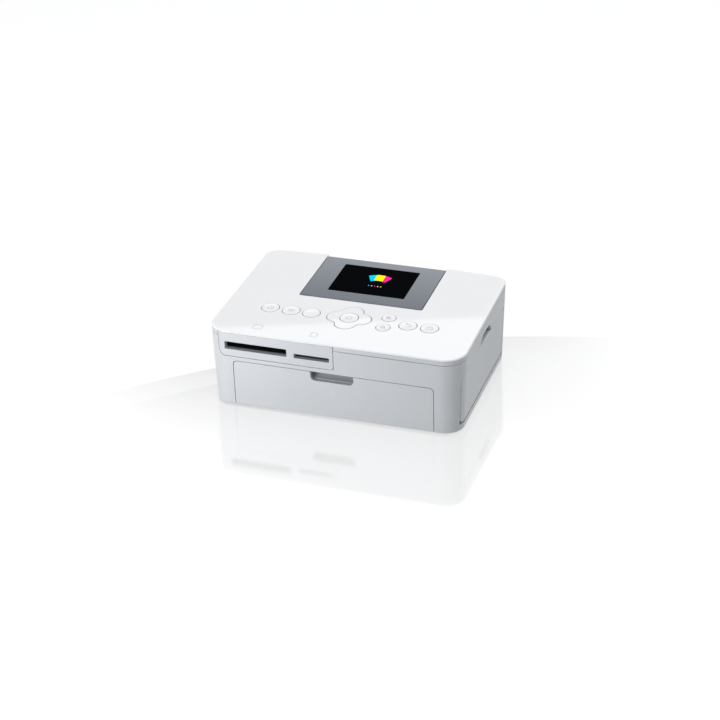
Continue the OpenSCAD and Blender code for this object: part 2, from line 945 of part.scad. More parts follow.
module zoom_out_button()
{
    color("white")
        on_top(zoom_x, key_y - zoom_pitch / 2)
            round_key(zoom_d);
}

pad_under = -cover_t - flange_gap - 0.6;
module nav_pad()
{
    color("white")
        on_top(0, key_y)
            difference() {
                union() {
                    translate([0, 0, pad_under])
                        linear_extrude(key_proud - pad_under)
                            pad_outline(0);
                    translate([0, 0, pad_under - flange_t])
                        linear_extrude(flange_t)
                            pad_outline(flange_w);
                }
                translate([0, 0, -20])
                    cylinder(d = ok_d + 2 * key_gap, h = 40);
            }
}

module ok_button()
{
    low = pad_under - flange_t - 0.9;
    color("white")
        on_top(0, key_y)
            rotate_extrude()
                polygon([[0, key_proud + 0.1], [ok_d / 2 - 0.3, key_proud + 0.1],
                    [ok_d / 2, key_proud - 0.2], [ok_d / 2, low + 0.4], [ok_d / 2 + 1, low + 0.4],
                    [ok_d / 2 + 1, low], [0, low]]);
}

module key_mat()
{
    color("lightgray")
        union() {
            on_top(0, key_y, mat_at + mat_t)
                translate([-mat_w / 2, -mat_l / 2, 0])
                    cube([mat_w, mat_l, mat_t]);
            for (x = concat(keys_left, keys_right))
                on_top(x, key_y, mat_at + 0.1)
                    cylinder(r1 = 3, r2 = 2, h = dome_h + 0.1);
            for (s = [-1, 1])
                on_top(zoom_x, key_y + s * zoom_pitch / 2, mat_at + 0.1)
                    cylinder(r1 = 3, r2 = 2, h = dome_h + 0.1);
            on_top(0, key_y, mat_at + 0.1)
                cylinder(r1 = 3, r2 = 2, h = dome_h * 0.5 + 0.1);
        }
}

module key_board()
{
    color("darkgreen")
        on_top(0, key_y, key_board_at + board_t)
            translate([-mat_w / 2 - board_rim, -mat_l / 2 - board_rim, 0])
                cube([mat_w + 2 * board_rim, mat_l + 2 * board_rim, board_t]);
}

// --- Boards, sockets and bay ---

module main_board()
{
    z = main_board_z;
    color("green")
        difference() {
            union() {
                block([-body_w / 2 + 5.6, front_y + 7, z - 1.6], [body_w / 2 - 27, front_y + 48, z]);
                block([14, front_y + 16, z], [30, front_y + 32, z + 1.2]);
                block([36, front_y + 18, z], [46, front_y + 30, z + 1]);
                for (i = [0:3])
                    translate([52, front_y + 14 + i * 8, z])
                        cylinder(r = 2.4, h = 3.6);
            }
            translate([bosses[0][0], bosses[0][1], z - 5])
                cylinder(r = boss_r + 1, h = 10);
        }
}

// A socket on the main board, open towards the slot in the card plate
module card_socket(x, slot_w, slot_h, l)
{
    y0 = front_y + 4.2;
    z1 = slot_low + slot_h;
    difference() {
        block([x - slot_w / 2 - 1, y0, main_board_z], [x + slot_w / 2 + 1, y0 + l, z1]);
        block([x - slot_w / 2 + 0.1, y0 - 1, slot_low + socket_play],
            [x + slot_w / 2 - 0.1, y0 + l - 3, z1 - socket_t]);
    }
}

module cf_card_socket()
{
    color("silver")
        card_socket(cf_x, cf_slot_w, cf_slot_h, 40);
}

module sd_card_socket()
{
    color("silver")
        card_socket(sd_x, sd_slot_w, sd_slot_h + 0.6, 27);
}

module usb_port()
{
    z = main_board_z;
    x0 = -body_w / 2 + 2.8;
    color("silver")
        difference() {
            block([x0, usb_y - 4, z + 0.01], [x0 + 8.4, usb_y + 4, z + 4.4]);
            block([x0 - 1, usb_y - 3.4, z + 0.8], [x0 + 7, usb_y + 3.4, z + 3.8]);
        }
}

module dc_inlet()
{
    y1 = rear_y - rear_bow - 0.6;
    color("black")
        union() {
            difference() {
                block([dc_x - 4.5, y1 - 10, dc_z - 5.5], [dc_x + 4.5, y1, dc_z + 5.5]);
                translate([dc_x, y1 - 9, dc_z])
                    rotate([-90, 0, 0])
                        cylinder(r = 2.9, h = 20);
            }
            translate([dc_x, y1 - 9.5, dc_z])
                rotate([-90, 0, 0])
                    cylinder(r = 0.8, h = 8);
            block([dc_x - 3, y1 - 9, floor_z], [dc_x + 3, y1 - 6, dc_z - 5.4]);
        }
}

module feed_frame()
{
    x_in = bay_w / 2;
    x_out = x_in + frame_t;
    color("lightslategray")
        difference() {
            union() {
                block([-x_out, bay_y0, bay_top], [x_out, bay_y1, bay_top + frame_t]);
                for (s = [-1, 1])
                    translate([s * (x_in + frame_t / 2), 0, 0])
                        block([-frame_t / 2, bay_y0, floor_z], [frame_t / 2, bay_y1, bay_top + EPS]);
                // Pocket behind the paper door's finger notch
                block([-notch_w / 2 - 1.6, front_y + door_t + 1.2, paper_door_top - notch_h - 1.6],
                    [notch_w / 2 + 1.6, front_y + 9, bay_top + frame_t]);
                // Posts that carry the main board
                for (x = [-x_in + 8, -10, x_in - 18], y = [bay_y0 + 8, bay_y1 - 8])
                    translate([x, y, bay_top])
                        cylinder(r = 2, h = main_board_z - 1.6 - bay_top);
            }
            rod(pickup_at, -x_out - 1, x_out + 1, pickup_axle_r + run_play);
            translate([0, front_y + 1.4, paper_door_top + 0.6])
                rotate([0, 90, 0])
                    cylinder(r = 6.6, h = notch_w, center = true);
        }
}

module pickup_axle()
{
    x_out = bay_w / 2 + frame_t;
    color("silver")
        rod(pickup_at, -x_out - 1.5, x_out + 1.5, pickup_axle_r);
}

module pickup_tyres()
{
    color("dimgray")
        for (s = [-1, 1])
            difference() {
                rod(pickup_at, s * 24 - 8, s * 24 + 8, pickup_r);
                rod(pickup_at, s * 24 - 9, s * 24 + 9, pickup_axle_r);
            }
}

// --- Chassis and rollers ---

chassis_y0 = bay_y1 + 1;
chassis_y1 = rear_y - 7.5;
module chassis_left()
{
    color("silver")
        difference() {
            union() {
                slab_x(left_x, left_x + sheet_t)
                    translate([chassis_y0, floor_z])
                        square([chassis_y1 - chassis_y0, arm_z - floor_z - 1]);
                block([left_x, chassis_y0, floor_z], [left_x + 8, chassis_y1, floor_z + sheet_t]);
                // Stub axle of the idler gear
                rod(idler_at, layer_2 - 0.3, left_x + EPS, post_r);
            }
            for (p = [capstan_at, pinch_at, platen_at, cam_at])
                rod(p, left_x - 1, left_x + 4, shaft_r + run_play);
            rod(head_pivot, left_x - 1, left_x + 4, 1.5 + run_play);
            rod(takeup_at, left_x - 1, left_x + 4, 2.5 + run_play);
        }
}

module chassis_right()
{
    color("silver")
        difference() {
            union() {
                slab_x(right_x, right_x + sheet_t)
                    translate([chassis_y0, floor_z])
                        square([chassis_y1 - chassis_y0, arm_z - floor_z - 1]);
                block([right_x, chassis_y0, floor_z], [right_x + 7, chassis_y1 - 9, floor_z + sheet_t]);
            }
            for (p = [capstan_at, pinch_at, platen_at, cam_at])
                rod(p, right_x - 1, right_x + 4, shaft_r + run_play);
            rod(head_pivot, right_x - 1, right_x + 4, 1.5 + run_play);
            // Window for the ink cassette
            slab_x(right_x - 1, right_x + 4)
                cassette_outline(0.8);
        }
}

module cassette_outline(grow)
{
    translate(supply_at)
        circle(supply_r + spool_play + shell_t + grow);
    translate(takeup_at)
        circle(takeup_r + spool_play + shell_t + grow);
    translate([supply_at[0], supply_at[1] - 9.6 - grow])
        square([takeup_at[0] - supply_at[0], 16.6 + 2 * grow]);
}

deck_x0 = left_x + sheet_t + 0.3;
deck_x1 = right_x - 0.3;
deck_t = 1.2;
deck_y = [bay_y1 + 1, platen_at[0] - 6, platen_at[0] + 6, capstan_at[0] - 3.4];
// Height of the deck's upper side: a ramp up to the platen, then level
function deck_z(y) = paper_z - 1.4 - max(0, deck_y[1] - y) * 0.22;
module deck_part(y0, y1)
{
    slab_x(deck_x0, deck_x1)
        polygon([[y0, deck_z(y0)], [y1, deck_z(y1)], [y1, deck_z(y1) - deck_t], [y0, deck_z(y0) - deck_t]]);
    for (y = [y0, y1 - deck_t])
        slab_x(deck_x0 + rib_inset, deck_x1 - rib_inset)
            polygon([[y, floor_z], [y + deck_t, floor_z], [y + deck_t, deck_z(y + deck_t) - deck_t / 2],
                [y, deck_z(y) - deck_t / 2]]);
}
module feed_deck()
{
    color("lightslategray") {
        deck_part(deck_y[0], deck_y[1]);
        deck_part(deck_y[2], deck_y[3]);
    }
}

module platen_roller()
{
    color("dimgray")
        union() {
            rod(platen_at, left_x - 0.4, right_x + sheet_t + 0.6, shaft_r);
            rod(platen_at, left_x + sheet_t + roller_inset, right_x - roller_inset, platen_r);
        }
}

module capstan_roller()
{
    color("silver")
        union() {
            rod(capstan_at, layer_1 - 0.2, right_x + sheet_t + 0.6, shaft_r);
            rod(capstan_at, left_x + sheet_t + roller_inset, right_x - roller_inset, capstan_r);
        }
}

module pinch_roller()
{
    color("silver")
        union() {
            rod(pinch_at, left_x - 0.4, right_x + sheet_t + 0.6, shaft_r);
            rod(pinch_at, left_x + sheet_t + roller_inset, right_x - roller_inset, capstan_r);
        }
}

// --- Print head ---

module head_arm()
{
    x0 = left_x + sheet_t + 0.4;
    x1 = right_x - 0.4;
    window_pitch = 14;
    window_in = window_pitch * 0.3;
    rim = 6;
    cheek_w = 4;
    color("silver")
        difference() {
            union() {
                block([x0, head_y - sink_w / 2 - 1, arm_z], [x1, head_pivot[0] - 2, arm_z + sheet_t]);
                for (x = [x0, x1 - sheet_t]) {
                    block([x, head_pivot[0] - cheek_w, head_pivot[1]],
                        [x + sheet_t, head_pivot[0] - 1.9, arm_z + EPS]);
                    slab_x(x, x + sheet_t)
                        translate(head_pivot)
                            circle(2.6);
                }
                // Studs that turn in the chassis plates
                rod(head_pivot, left_x - 1, x0 + sheet_t, 1.5);
                rod(head_pivot, x1 - sheet_t, right_x + sheet_t + 1, 1.5);
            }
            for (i = [-3:3])
                block([i * window_pitch - window_in, head_y + sink_w, arm_z - sheet_t],
                    [i * window_pitch + window_in, head_y + sink_w + rim, arm_z + 2 * sheet_t]);
        }
}

module heat_sink()
{
    fins = 14;
    fin_t = 1.4;
    fin_pitch = (sink_x1 - sink_x0 - fin_t) / fins;
    y0 = head_y - sink_w / 2;
    color("gray")
        union() {
            block([sink_x0, y0, sink_z], [sink_x1, y0 + sink_foot_t, arm_z]);
            block([sink_x0, y0, sink_z], [sink_x1, y0 + sink_w, sink_z + sink_foot_t]);
            for (i = [0:fins])
                block([sink_x0 + i * fin_pitch, y0, sink_z],
                    [sink_x0 + i * fin_pitch + fin_t, y0 + sink_w, arm_z - 2]);
        }
}

module thermal_head()
{
    z0 = sink_z - head_t;
    color("tan")
        union() {
            block([sink_x0, head_y - head_w / 2, z0], [sink_x1, head_y + head_w / 2, sink_z]);
            slab_x(sink_x0 + 1, sink_x1 - 1)
                polygon([[head_y - 3, z0], [head_y - 1.2, head_tip_z], [head_y + 1.2, head_tip_z],
                    [head_y + 3, z0]]);
        }
}

// A wire coil along X, swept as one tube
module coil(r, wire, turns, pitch)
{
    rings = 12 * turns;
    sides = 6;
    function spot(i) = [pitch * i / 12, r * cos(30 * i), r * sin(30 * i)];
    function ring(i) = [for (k = [0:sides - 1]) let (a = 360 * k / sides)
        spot(i) + [wire * sin(a), wire * cos(a) * cos(30 * i), wire * cos(a) * sin(30 * i)]];
    points = [for (i = [0:rings]) each ring(i)];
    polyhedron(points, concat(
        [[for (k = [0:sides - 1]) k]],
        [for (i = [0:rings - 1], k = [0:sides - 1]) each [
            [i * sides + k, (i + 1) * sides + k, (i + 1) * sides + (k + 1) % sides],
            [i * sides + k, (i + 1) * sides + (k + 1) % sides, i * sides + (k + 1) % sides]]],
        [[for (k = [sides - 1:-1:0]) rings * sides + k]]));
}

module head_springs()
{
    color("silver") {
        translate([left_x + sheet_t + 2.2, head_pivot[0], head_pivot[1]])
            coil(2.1, 0.3, 4, 0.9);
        translate([right_x - 2.2 - 3.6, head_pivot[0], head_pivot[1]])
            coil(2.1, 0.3, 4, 0.9);
    }
}

module camshaft()
{
    color("lightgray")
        union() {
            rod(cam_at, layer_2, right_x + sheet_t + 0.6, shaft_r - 0.2);
            rod(cam_at, left_x - 0.6, left_x + sheet_t + 0.5, shaft_r);
            rod(cam_at, right_x - 0.5, right_x + sheet_t + 0.6, shaft_r);
            for (x = [left_x + 6, right_x - 8])
                slab_x(x, x + 3) {
                    translate(cam_at)
                        circle(cam_base_r);
                    translate(cam_at + [0, cam_tip_at])
                        circle(cam_tip_r);
                    translate(cam_at)
                        polygon([[-cam_base_r, 0], [cam_base_r, 0], [cam_tip_r, cam_tip_at],
                            [-cam_tip_r, cam_tip_at]]);
                }
        }
}

// --- Drive ---

module cam_gear()
{
    color("ivory")
        difference() {
            gear_x(cam_at, layer_2, cam_n);
            rod(cam_at, layer_2 - 1, layer_2 + layer_w + 1, shaft_r - 0.2);
        }
}

module head_pinion()
{
    color("ivory")
        difference() {
            gear_x(head_motor_at, layer_2, pinion_n, 180 / pinion_n);
            rod(head_motor_at, layer_2 - 1, layer_2 + layer_w + 1, motor_shaft_r);
        }
}

module head_motor()
{
    color("silver")
        union() {
            rod(head_motor_at, bracket_x - 10, bracket_x, head_motor_r);
            rod(head_motor_at, bracket_x, layer_2 - 0.3, 2);
        }
}

module motor_bracket()
{
    feet = [takeup_at + [14, 9], feed_at + [-21, -2], feed_at + [-15, 11]];
    color("silver")
        difference() {
            union() {
                slab_x(bracket_x, bracket_x + sheet_t)
                    polygon([[feed_at[0] - 24, floor_z + 0.5], [takeup_at[0] + 10, floor_z + 0.5],
                        takeup_at + [17, 5], takeup_at + [17, 12], [cam_at[0] + 4, cam_at[1] + 5],
                        [head_motor_at[0] - 8, cam_at[1] + 5], [feed_at[0] - 24, feed_at[1] + 8]]);
                for (p = feet)
                    rod(p, bracket_x + sheet_t - EPS, left_x, 1.6);
            }
            rod(feed_at, bracket_x - 1, bracket_x + 3, 3);
            rod(head_motor_at, bracket_x - 1, bracket_x + 3, 2.1);
            rod(cam_at, bracket_x - 1, bracket_x + 3, 4);
        }
}

module feed_motor()
{
    color("dimgray")
        union() {
            rod(feed_at, bracket_x - 9, bracket_x, feed_motor_r);
            rod(feed_at, bracket_x, layer_2 - 0.3, 2.9);
        }
}

module feed_pinion()
{
    color("ivory")
        union() {
            gear_x(feed_at, layer_2, pinion_n, heading(feed_at, idler_at) + 180 / pinion_n);
            rod(feed_at, layer_2 + layer_w - EPS, layer_2 + layer_w + 0.2, motor_shaft_r);
        }
}

// Angle of a gear's tooth zero, so that its teeth fall in the gaps of the gear it meets
function mesh_turn(n, from, to) = heading(from, to) + 180 / n;
idler_turn = heading(idler_at, feed_at);
small_turn = heading(idler_at, capstan_at);
module idler_gear()
{
    color("ivory")
        difference() {
            union() {
                gear_x(idler_at, layer_2, idler_big_n, idler_turn);
                gear_x(idler_at, layer_1, idler_small_n, small_turn);
                rod(idler_at, layer_2 + layer_w - EPS, layer_1 + EPS, 3);
            }
            rod(idler_at, layer_2 - 1, left_x, post_r + run_play);
        }
}

module capstan_gear()
{
    color("ivory")
        difference() {
            gear_x(capstan_at, layer_1, capstan_n, mesh_turn(capstan_n, capstan_at, idler_at));
            rod(capstan_at, layer_1 - 1, left_x, shaft_r);
        }
}

// Turn of the spindle's gear: the small gear's tooth nearest to it decides
spindle_dir = heading(idler_at, takeup_at);
small_phase = (spindle_dir - small_turn) * idler_small_n / 360;
spindle_turn = heading(takeup_at, idler_at) + 180 / spindle_n
    + (small_phase - floor(small_phase)) * 360 / spindle_n;
module takeup_spindle()
{
    color("ivory")
        union() {
            gear_x(takeup_at, layer_1, spindle_n, spindle_turn);
            rod(takeup_at, layer_1 + layer_w - EPS, cassette_x0 - 0.3, 2.5);
        }
}

// --- Ink cassette ---

module cassette_end(x0, x1)
{
    difference() {
        slab_x(x0, x1)
            cassette_outline(0);
        for (p = [supply_at, takeup_at])
            rod(p, x0 - 1, x1 + 1, roll_pin_r + run_play);
    }
}

// A half-open trough round one roll, open towards the film
module trough(at, r, opens)
{
    slab_x(cassette_x0 + cassette_end_t - EPS, cassette_x1 - cassette_end_t + EPS)
        difference() {
            translate(at)
                circle(r + spool_play + shell_t);
            translate(at)
                circle(r + spool_play);
            translate(at + [opens > 0 ? 0 : -far, -far])
                square([far, far]);
        }
}

module ribbon_cassette()
{
    color("whitesmoke")
        union() {
            cassette_end(cassette_x0, cassette_x0 + cassette_end_t);
            cassette_end(cassette_x1 - cassette_end_t, cassette_x1);
            trough(supply_at, supply_r, 1);
            trough(takeup_at, takeup_r, -1);
            // Grip for pulling the cassette out
            block([cassette_x1 - EPS, supply_at[0] - 2, supply_at[1] - grip_t / 2],
                [cassette_x1 + grip_l, takeup_at[0] + 2, supply_at[1] + grip_t / 2]);
        }
}

module spool(at, r)
{
    rod(at, cassette_x0 + 0.2, cassette_x1 - 0.2, roll_pin_r);
    rod(at, cassette_x0 + cassette_end_t + 0.4, cassette_x1 - cassette_end_t - 0.4, roll_core_r);
    rod(at, cassette_x0 + roll_inset, cassette_x1 - roll_inset, r);
}

module supply_spool() { color("darkmagenta") spool(supply_at, supply_r); }
module takeup_spool() { color("goldenrod") spool(takeup_at, takeup_r); }

// The film runs low over the platen, where the head can press it down, and then up to its roll
module ribbon_film()
{
    under = 0.35;
    leaves = supply_at - [0, supply_r + under];
    turns = [head_y + 4, paper_z + 0.7];
    arrives = takeup_at - [0, takeup_r + under];
    down = [0, film_t];
    color("goldenrod")
        slab_x(cassette_x0 + roll_inset + 0.5, cassette_x1 - roll_inset - 0.5)
            polygon([leaves, turns, arrives, arrives - down, turns - down, leaves - down]);
}

// --- Fan ---

fan_y1 = rear_y - 4.2;
module fan_frame()
{
    color("black")
        difference() {
            block([fan_x - fan_size / 2, fan_y1 - fan_t, fan_z - fan_size / 2],
                [fan_x + fan_size / 2, fan_y1, fan_z + fan_size / 2]);
            translate([fan_x, fan_y1 + 1, fan_z])
                rotate([90, 0, 0])
                    cylinder(r = fan_size / 2 - 1.2, h = fan_t - 0.4);
            translate([fan_x, fan_y1 + 1, fan_z])
                rotate([90, 0, 0])
                    cylinder(r = 1.05, h = fan_t + 3);
            for (a = [0:90:270])
                translate([fan_x, fan_y1 - fan_t - 1, fan_z])
                    rotate([-90, a, 0])
                        translate([7.5, 0, 0])
                            cylinder(r = 3, h = 4);
        }
}

module fan_rotor()
{
    color("dimgray")
        translate([fan_x, fan_y1 - 0.4, fan_z])
            rotate([90, 0, 0])
                union() {
                    cylinder(r = 4, h = fan_t - 2.2);
                    cylinder(r = 1, h = fan_t - 0.8);
                    for (a = [0:360 / 7:359])
                        rotate(a)
                            translate([3.6, -0.3, 0.4])
                                rotate([25, 0, 0])
                                    cube([7, 0.7, fan_t - 3.4]);
                }
}

top_cover();
main_housing();
base_plate();
card_slot_plate();
paper_door();
ink_door();
terminal_cover();
rubber_feet();
case_screws();
lcd_frame();
lcd_window();
lcd_module();
lcd_back_cover();
lcd_hinge_pins();
display_tray();
power_button();
menu_button();
edit_button();
nav_pad();
ok_button();
zoom_in_button();
zoom_out_button();
back_button();
print_button();
key_mat();
key_board();
main_board();
cf_card_socket();
sd_card_socket();
usb_port();
dc_inlet();
feed_frame();
pickup_axle();
pickup_tyres();
chassis_left();
chassis_right();
feed_deck();
platen_roller();
capstan_roller();
pinch_roller();
head_arm();
heat_sink();
thermal_head();
head_springs();
camshaft();
cam_gear();
head_motor();
head_pinion();
motor_bracket();
feed_motor();
feed_pinion();
idler_gear();
capstan_gear();
takeup_spindle();
ribbon_cassette();
supply_spool();
takeup_spool();
ribbon_film();
fan_frame();
fan_rotor();
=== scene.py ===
"""The looks of a compact photo printer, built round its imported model.

Lengths are in millimetres up to the point where a mesh is made, which is in metres.
"""
import math

import bmesh
import bpy
import numpy as np
from mathutils import Matrix, Vector
from mathutils.geometry import delaunay_2d_cdt


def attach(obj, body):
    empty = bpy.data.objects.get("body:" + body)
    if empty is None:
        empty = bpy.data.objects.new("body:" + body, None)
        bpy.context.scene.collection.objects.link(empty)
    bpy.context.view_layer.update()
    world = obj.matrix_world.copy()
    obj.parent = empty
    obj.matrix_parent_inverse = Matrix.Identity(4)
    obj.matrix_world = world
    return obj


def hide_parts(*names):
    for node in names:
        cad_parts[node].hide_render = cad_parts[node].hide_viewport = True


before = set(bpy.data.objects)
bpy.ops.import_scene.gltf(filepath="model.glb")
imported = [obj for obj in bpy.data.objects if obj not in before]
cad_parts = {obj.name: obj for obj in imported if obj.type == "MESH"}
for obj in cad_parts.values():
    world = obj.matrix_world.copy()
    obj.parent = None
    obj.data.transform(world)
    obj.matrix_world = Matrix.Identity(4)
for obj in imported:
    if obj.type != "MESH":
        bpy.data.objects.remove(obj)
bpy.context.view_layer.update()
MM = 0.001


# --- Camera ---
# A long lens looks from the front, a little to the right and well above, as in the photograph. It was
# fitted to the printer's edges.

view_turn, view_rise, view_roll = (math.radians(a) for a in (18.77, 28.29, -1.24))
view_distance = 1248.12
view_focus_px = 1804.69
aim_height, aim_right, aim_up = 30, -1.21, -15.07
frame_px = 720

back = Vector((math.sin(view_turn) * math.cos(view_rise), -math.cos(view_turn) * math.cos(view_rise),
               math.sin(view_rise)))
right = Vector((math.cos(view_turn), math.sin(view_turn), 0))
up = back.cross(right)
camera_data = bpy.data.cameras.new("camera")
camera_data.sensor_width = 36
camera_data.lens = camera_data.sensor_width * view_focus_px / frame_px
camera_data.clip_end = 50
camera = bpy.data.objects.new("camera", camera_data)
bpy.context.scene.collection.objects.link(camera)
camera_x = right * math.cos(view_roll) + up * math.sin(view_roll)
camera_y = up * math.cos(view_roll) - right * math.sin(view_roll)
camera_at = Vector((0, 0, aim_height)) + right * aim_right + up * aim_up + back * view_distance
camera.matrix_world = Matrix.Translation(camera_at * MM) @ Matrix((camera_x, camera_y, back)).transposed().to_4x4()
bpy.context.scene.camera = camera
bpy.context.scene.view_settings.view_transform = "Standard"


# --- Main housing ---
# The silver wall round the printer is one thin moulding with leaning sides. Openings for the doors,
# the card plate and the rear connectors are cut in it, and every edge is rolled over a little.

body_w, body_d = 178, 127
front_h, rear_h, foot_h = 56.5, 60.5, 1.2
front_y, rear_y = -body_d / 2, body_d / 2
slope = math.atan2(rear_h - front_h, body_d)
lean, edge_r, skirt_h, seam = 1.6, 1.2, 4.2, 0.3
front_r, rear_r, rear_bow = 15, 10, 2.7


def top_z(y):
    return front_h + (y - front_y) * math.tan(slope)


def casing_outline():
    """Right half of the casing's plan from the front's middle to the rear's: centres, radii and directions."""
    rows = [((x, front_y + front_r), front_r, -90) for x in np.linspace(0, body_w / 2 - front_r, 40)]
    corner = (body_w / 2 - front_r, front_y + front_r)
    rows += [(corner, front_r, a) for a in np.linspace(-88, 0, 45)]
    reach = body_w / 2 - rear_r
    straight = np.linspace(front_y + front_r, rear_y - rear_r - rear_bow, 50)[1:]
    rows += [((corner[0], y), front_r, 0) for y in straight]
    tilt = math.degrees(math.atan2(reach, 2 * rear_bow))
    rows += [((reach, straight[-1]), rear_r, a) for a in np.linspace(2, tilt, 44)]
    for s in np.linspace(1, 0, 40)[1:]:
        rows.append(((reach * s, rear_y - rear_r - rear_bow * s * s), rear_r,
                     math.degrees(math.atan2(reach, 2 * rear_bow * s))))
    return rows


outline_rows = casing_outline()
outline_centre = np.array([r[0] for r in outline_rows], float)
outline_radius = np.array([r[1] for r in outline_rows], float)
outline_angle = np.radians([r[2] for r in outline_rows])
outline_xy = outline_centre + outline_radius[:, None] * np.stack([np.cos(outline_angle), np.sin(outline_angle)], 1)
outline_u = np.concatenate([[0], np.cumsum(np.linalg.norm(np.diff(outline_xy, axis=0), axis=1))])
half_round = outline_u[-1]
right_side, rear_right = slice(84, 134), slice(-60, None)
# The flat pattern's two ends meet on the rear, at a place with no opening
join_x = 60
join_u = np.interp(-join_x, -outline_xy[rear_right, 0], outline_u[rear_right])


def round_casing(u, inset):
    """Plan position at distance u round the casing from the front's middle, moved inwards by inset."""
    u = u + 2 * half_round if u < -half_round else u
    side = -1 if u < 0 else 1
    angle = np.interp(abs(u), outline_u, outline_angle)
    x, y = (np.interp(abs(u), outline_u, outline_xy[:, k]) for k in (0, 1))
    return side * (x - inset * math.cos(angle)), y - inset * math.sin(angle)


def wall_place(u, z, depth=0.0):
    """A point on the casing's wall at height z, or depth below its surface."""
    y = round_casing(u, 0)[1]
    drop = top_z(y) - z
    if drop < edge_r:
        inset = edge_r * (1 - math.sqrt(max(0.0, 1 - (1 - drop / edge_r) ** 2)))
    else:
        inset = lean * (1 - (z - foot_h) / (top_z(y) - edge_r - foot_h))
    x, y = round_casing(u, inset + depth)
    return x, y, z


def u_front(x):
    """Distance round the casing to a place x on the front or its corners."""
    turn = math.asin(max(0.0, abs(x) - body_w / 2 + front_r) / front_r)
    return math.copysign(min(abs(x), body_w / 2 - front_r) + front_r * turn, x)


def u_side(y):
    """Distance round the casing to a place y on the right side or its front corner."""
    if y >= front_y + front_r:
        return np.interp(y, outline_xy[right_side, 1], outline_u[right_side])
    return body_w / 2 - front_r + front_r * math.acos((front_y + front_r - y) / front_r)


def u_rear(x):
    """Distance round the casing to a place x on the rear, counted from the side where the pattern runs on."""
    u = np.interp(-abs(x), -outline_xy[rear_right, 0], outline_u[rear_right])
    return -u if x < 0 else u if x > join_x else u - 2 * half_round


def arc(x, y, r, a0, a1, n):
    """Points on an arc from a0 to a1 degrees."""
    return [(x + r * math.cos(math.radians(a0 + (a1 - a0) * i / n)),
             y + r * math.sin(math.radians(a0 + (a1 - a0) * i / n))) for i in range(n + 1)]


def rounded(x0, y0, x1, y1, radii, n=6):
    """A rectangle with a radius for each corner: lower left, lower right, upper right, upper left."""
    corners = [(x0, y0, 1, 1, 180), (x1, y0, -1, 1, 270), (x1, y1, -1, -1, 0), (x0, y1, 1, -1, 90)]
    points = []
    for (x, y, sx, sy, a), r in zip(corners, radii):
        points += arc(x + sx * r, y + sy * r, r, a, a + 90, n) if r else [(x, y)]
    return points


def divided(loop, step):
    """A closed loop with points added so that no edge is longer than step, which is given for both ways."""
    points = []
    for (x0, y0), (x1, y1) in zip(loop, loop[1:] + loop[:1]):
        n = max(1, math.ceil(math.hypot((x1 - x0) / step[0], (y1 - y0) / step[1]) - 0.01))
        points += [(x0 + (x1 - x0) * i / n, y0 + (y1 - y0) * i / n) for i in range(n)]
    return points


def offset_ways(loop, is_weld):
    """Outward directions at a loop's points, mitred. Edges that are welded to a neighbour don't move."""
    p = np.array(loop)
    ahead = np.roll(p, -1, 0) - p
    ahead /= np.maximum(np.linalg.norm(ahead, axis=1), 1e-9)[:, None]
    normal = np.stack([ahead[:, 1], -ahead[:, 0]], 1)
    weld = np.array([is_weld(*(p[i] + p[(i + 1) % len(p)]) / 2) for i in range(len(p))])
    ways = []
    for i in range(len(p)):
        sides = [normal[k] for k in (i - 1, i) if not weld[k]]
        if not sides:
            ways.append(np.zeros(2))
        elif len(sides) == 1:
            ways.append(sides[0])
        else:
            ways.append((sides[0] + sides[1]) / max(0.35, 1 + sides[0] @ sides[1]))
    return p, np.array(ways), weld


def area(loop):
    p = np.array(loop)
    q = np.roll(p, -1, 0)
    return ((p[:, 0] * q[:, 1] - q[:, 0] * p[:, 1]).sum()) / 2


def inside(points, loops):
    """Which points lie in the region that the loops bound."""
    odd = np.zeros(len(points), bool)
    for loop in loops:
        p, q = loop, np.roll(loop, -1, 0)
        for (x0, y0), (x1, y1) in zip(p, q):
            if y0 != y1:
                spans = (points[:, 1] > y0) != (points[:, 1] > y1)
                odd ^= spans & (points[:, 0] < (x1 - x0) * (points[:, 1] - y0) / (y1 - y0) + x0)
    return odd


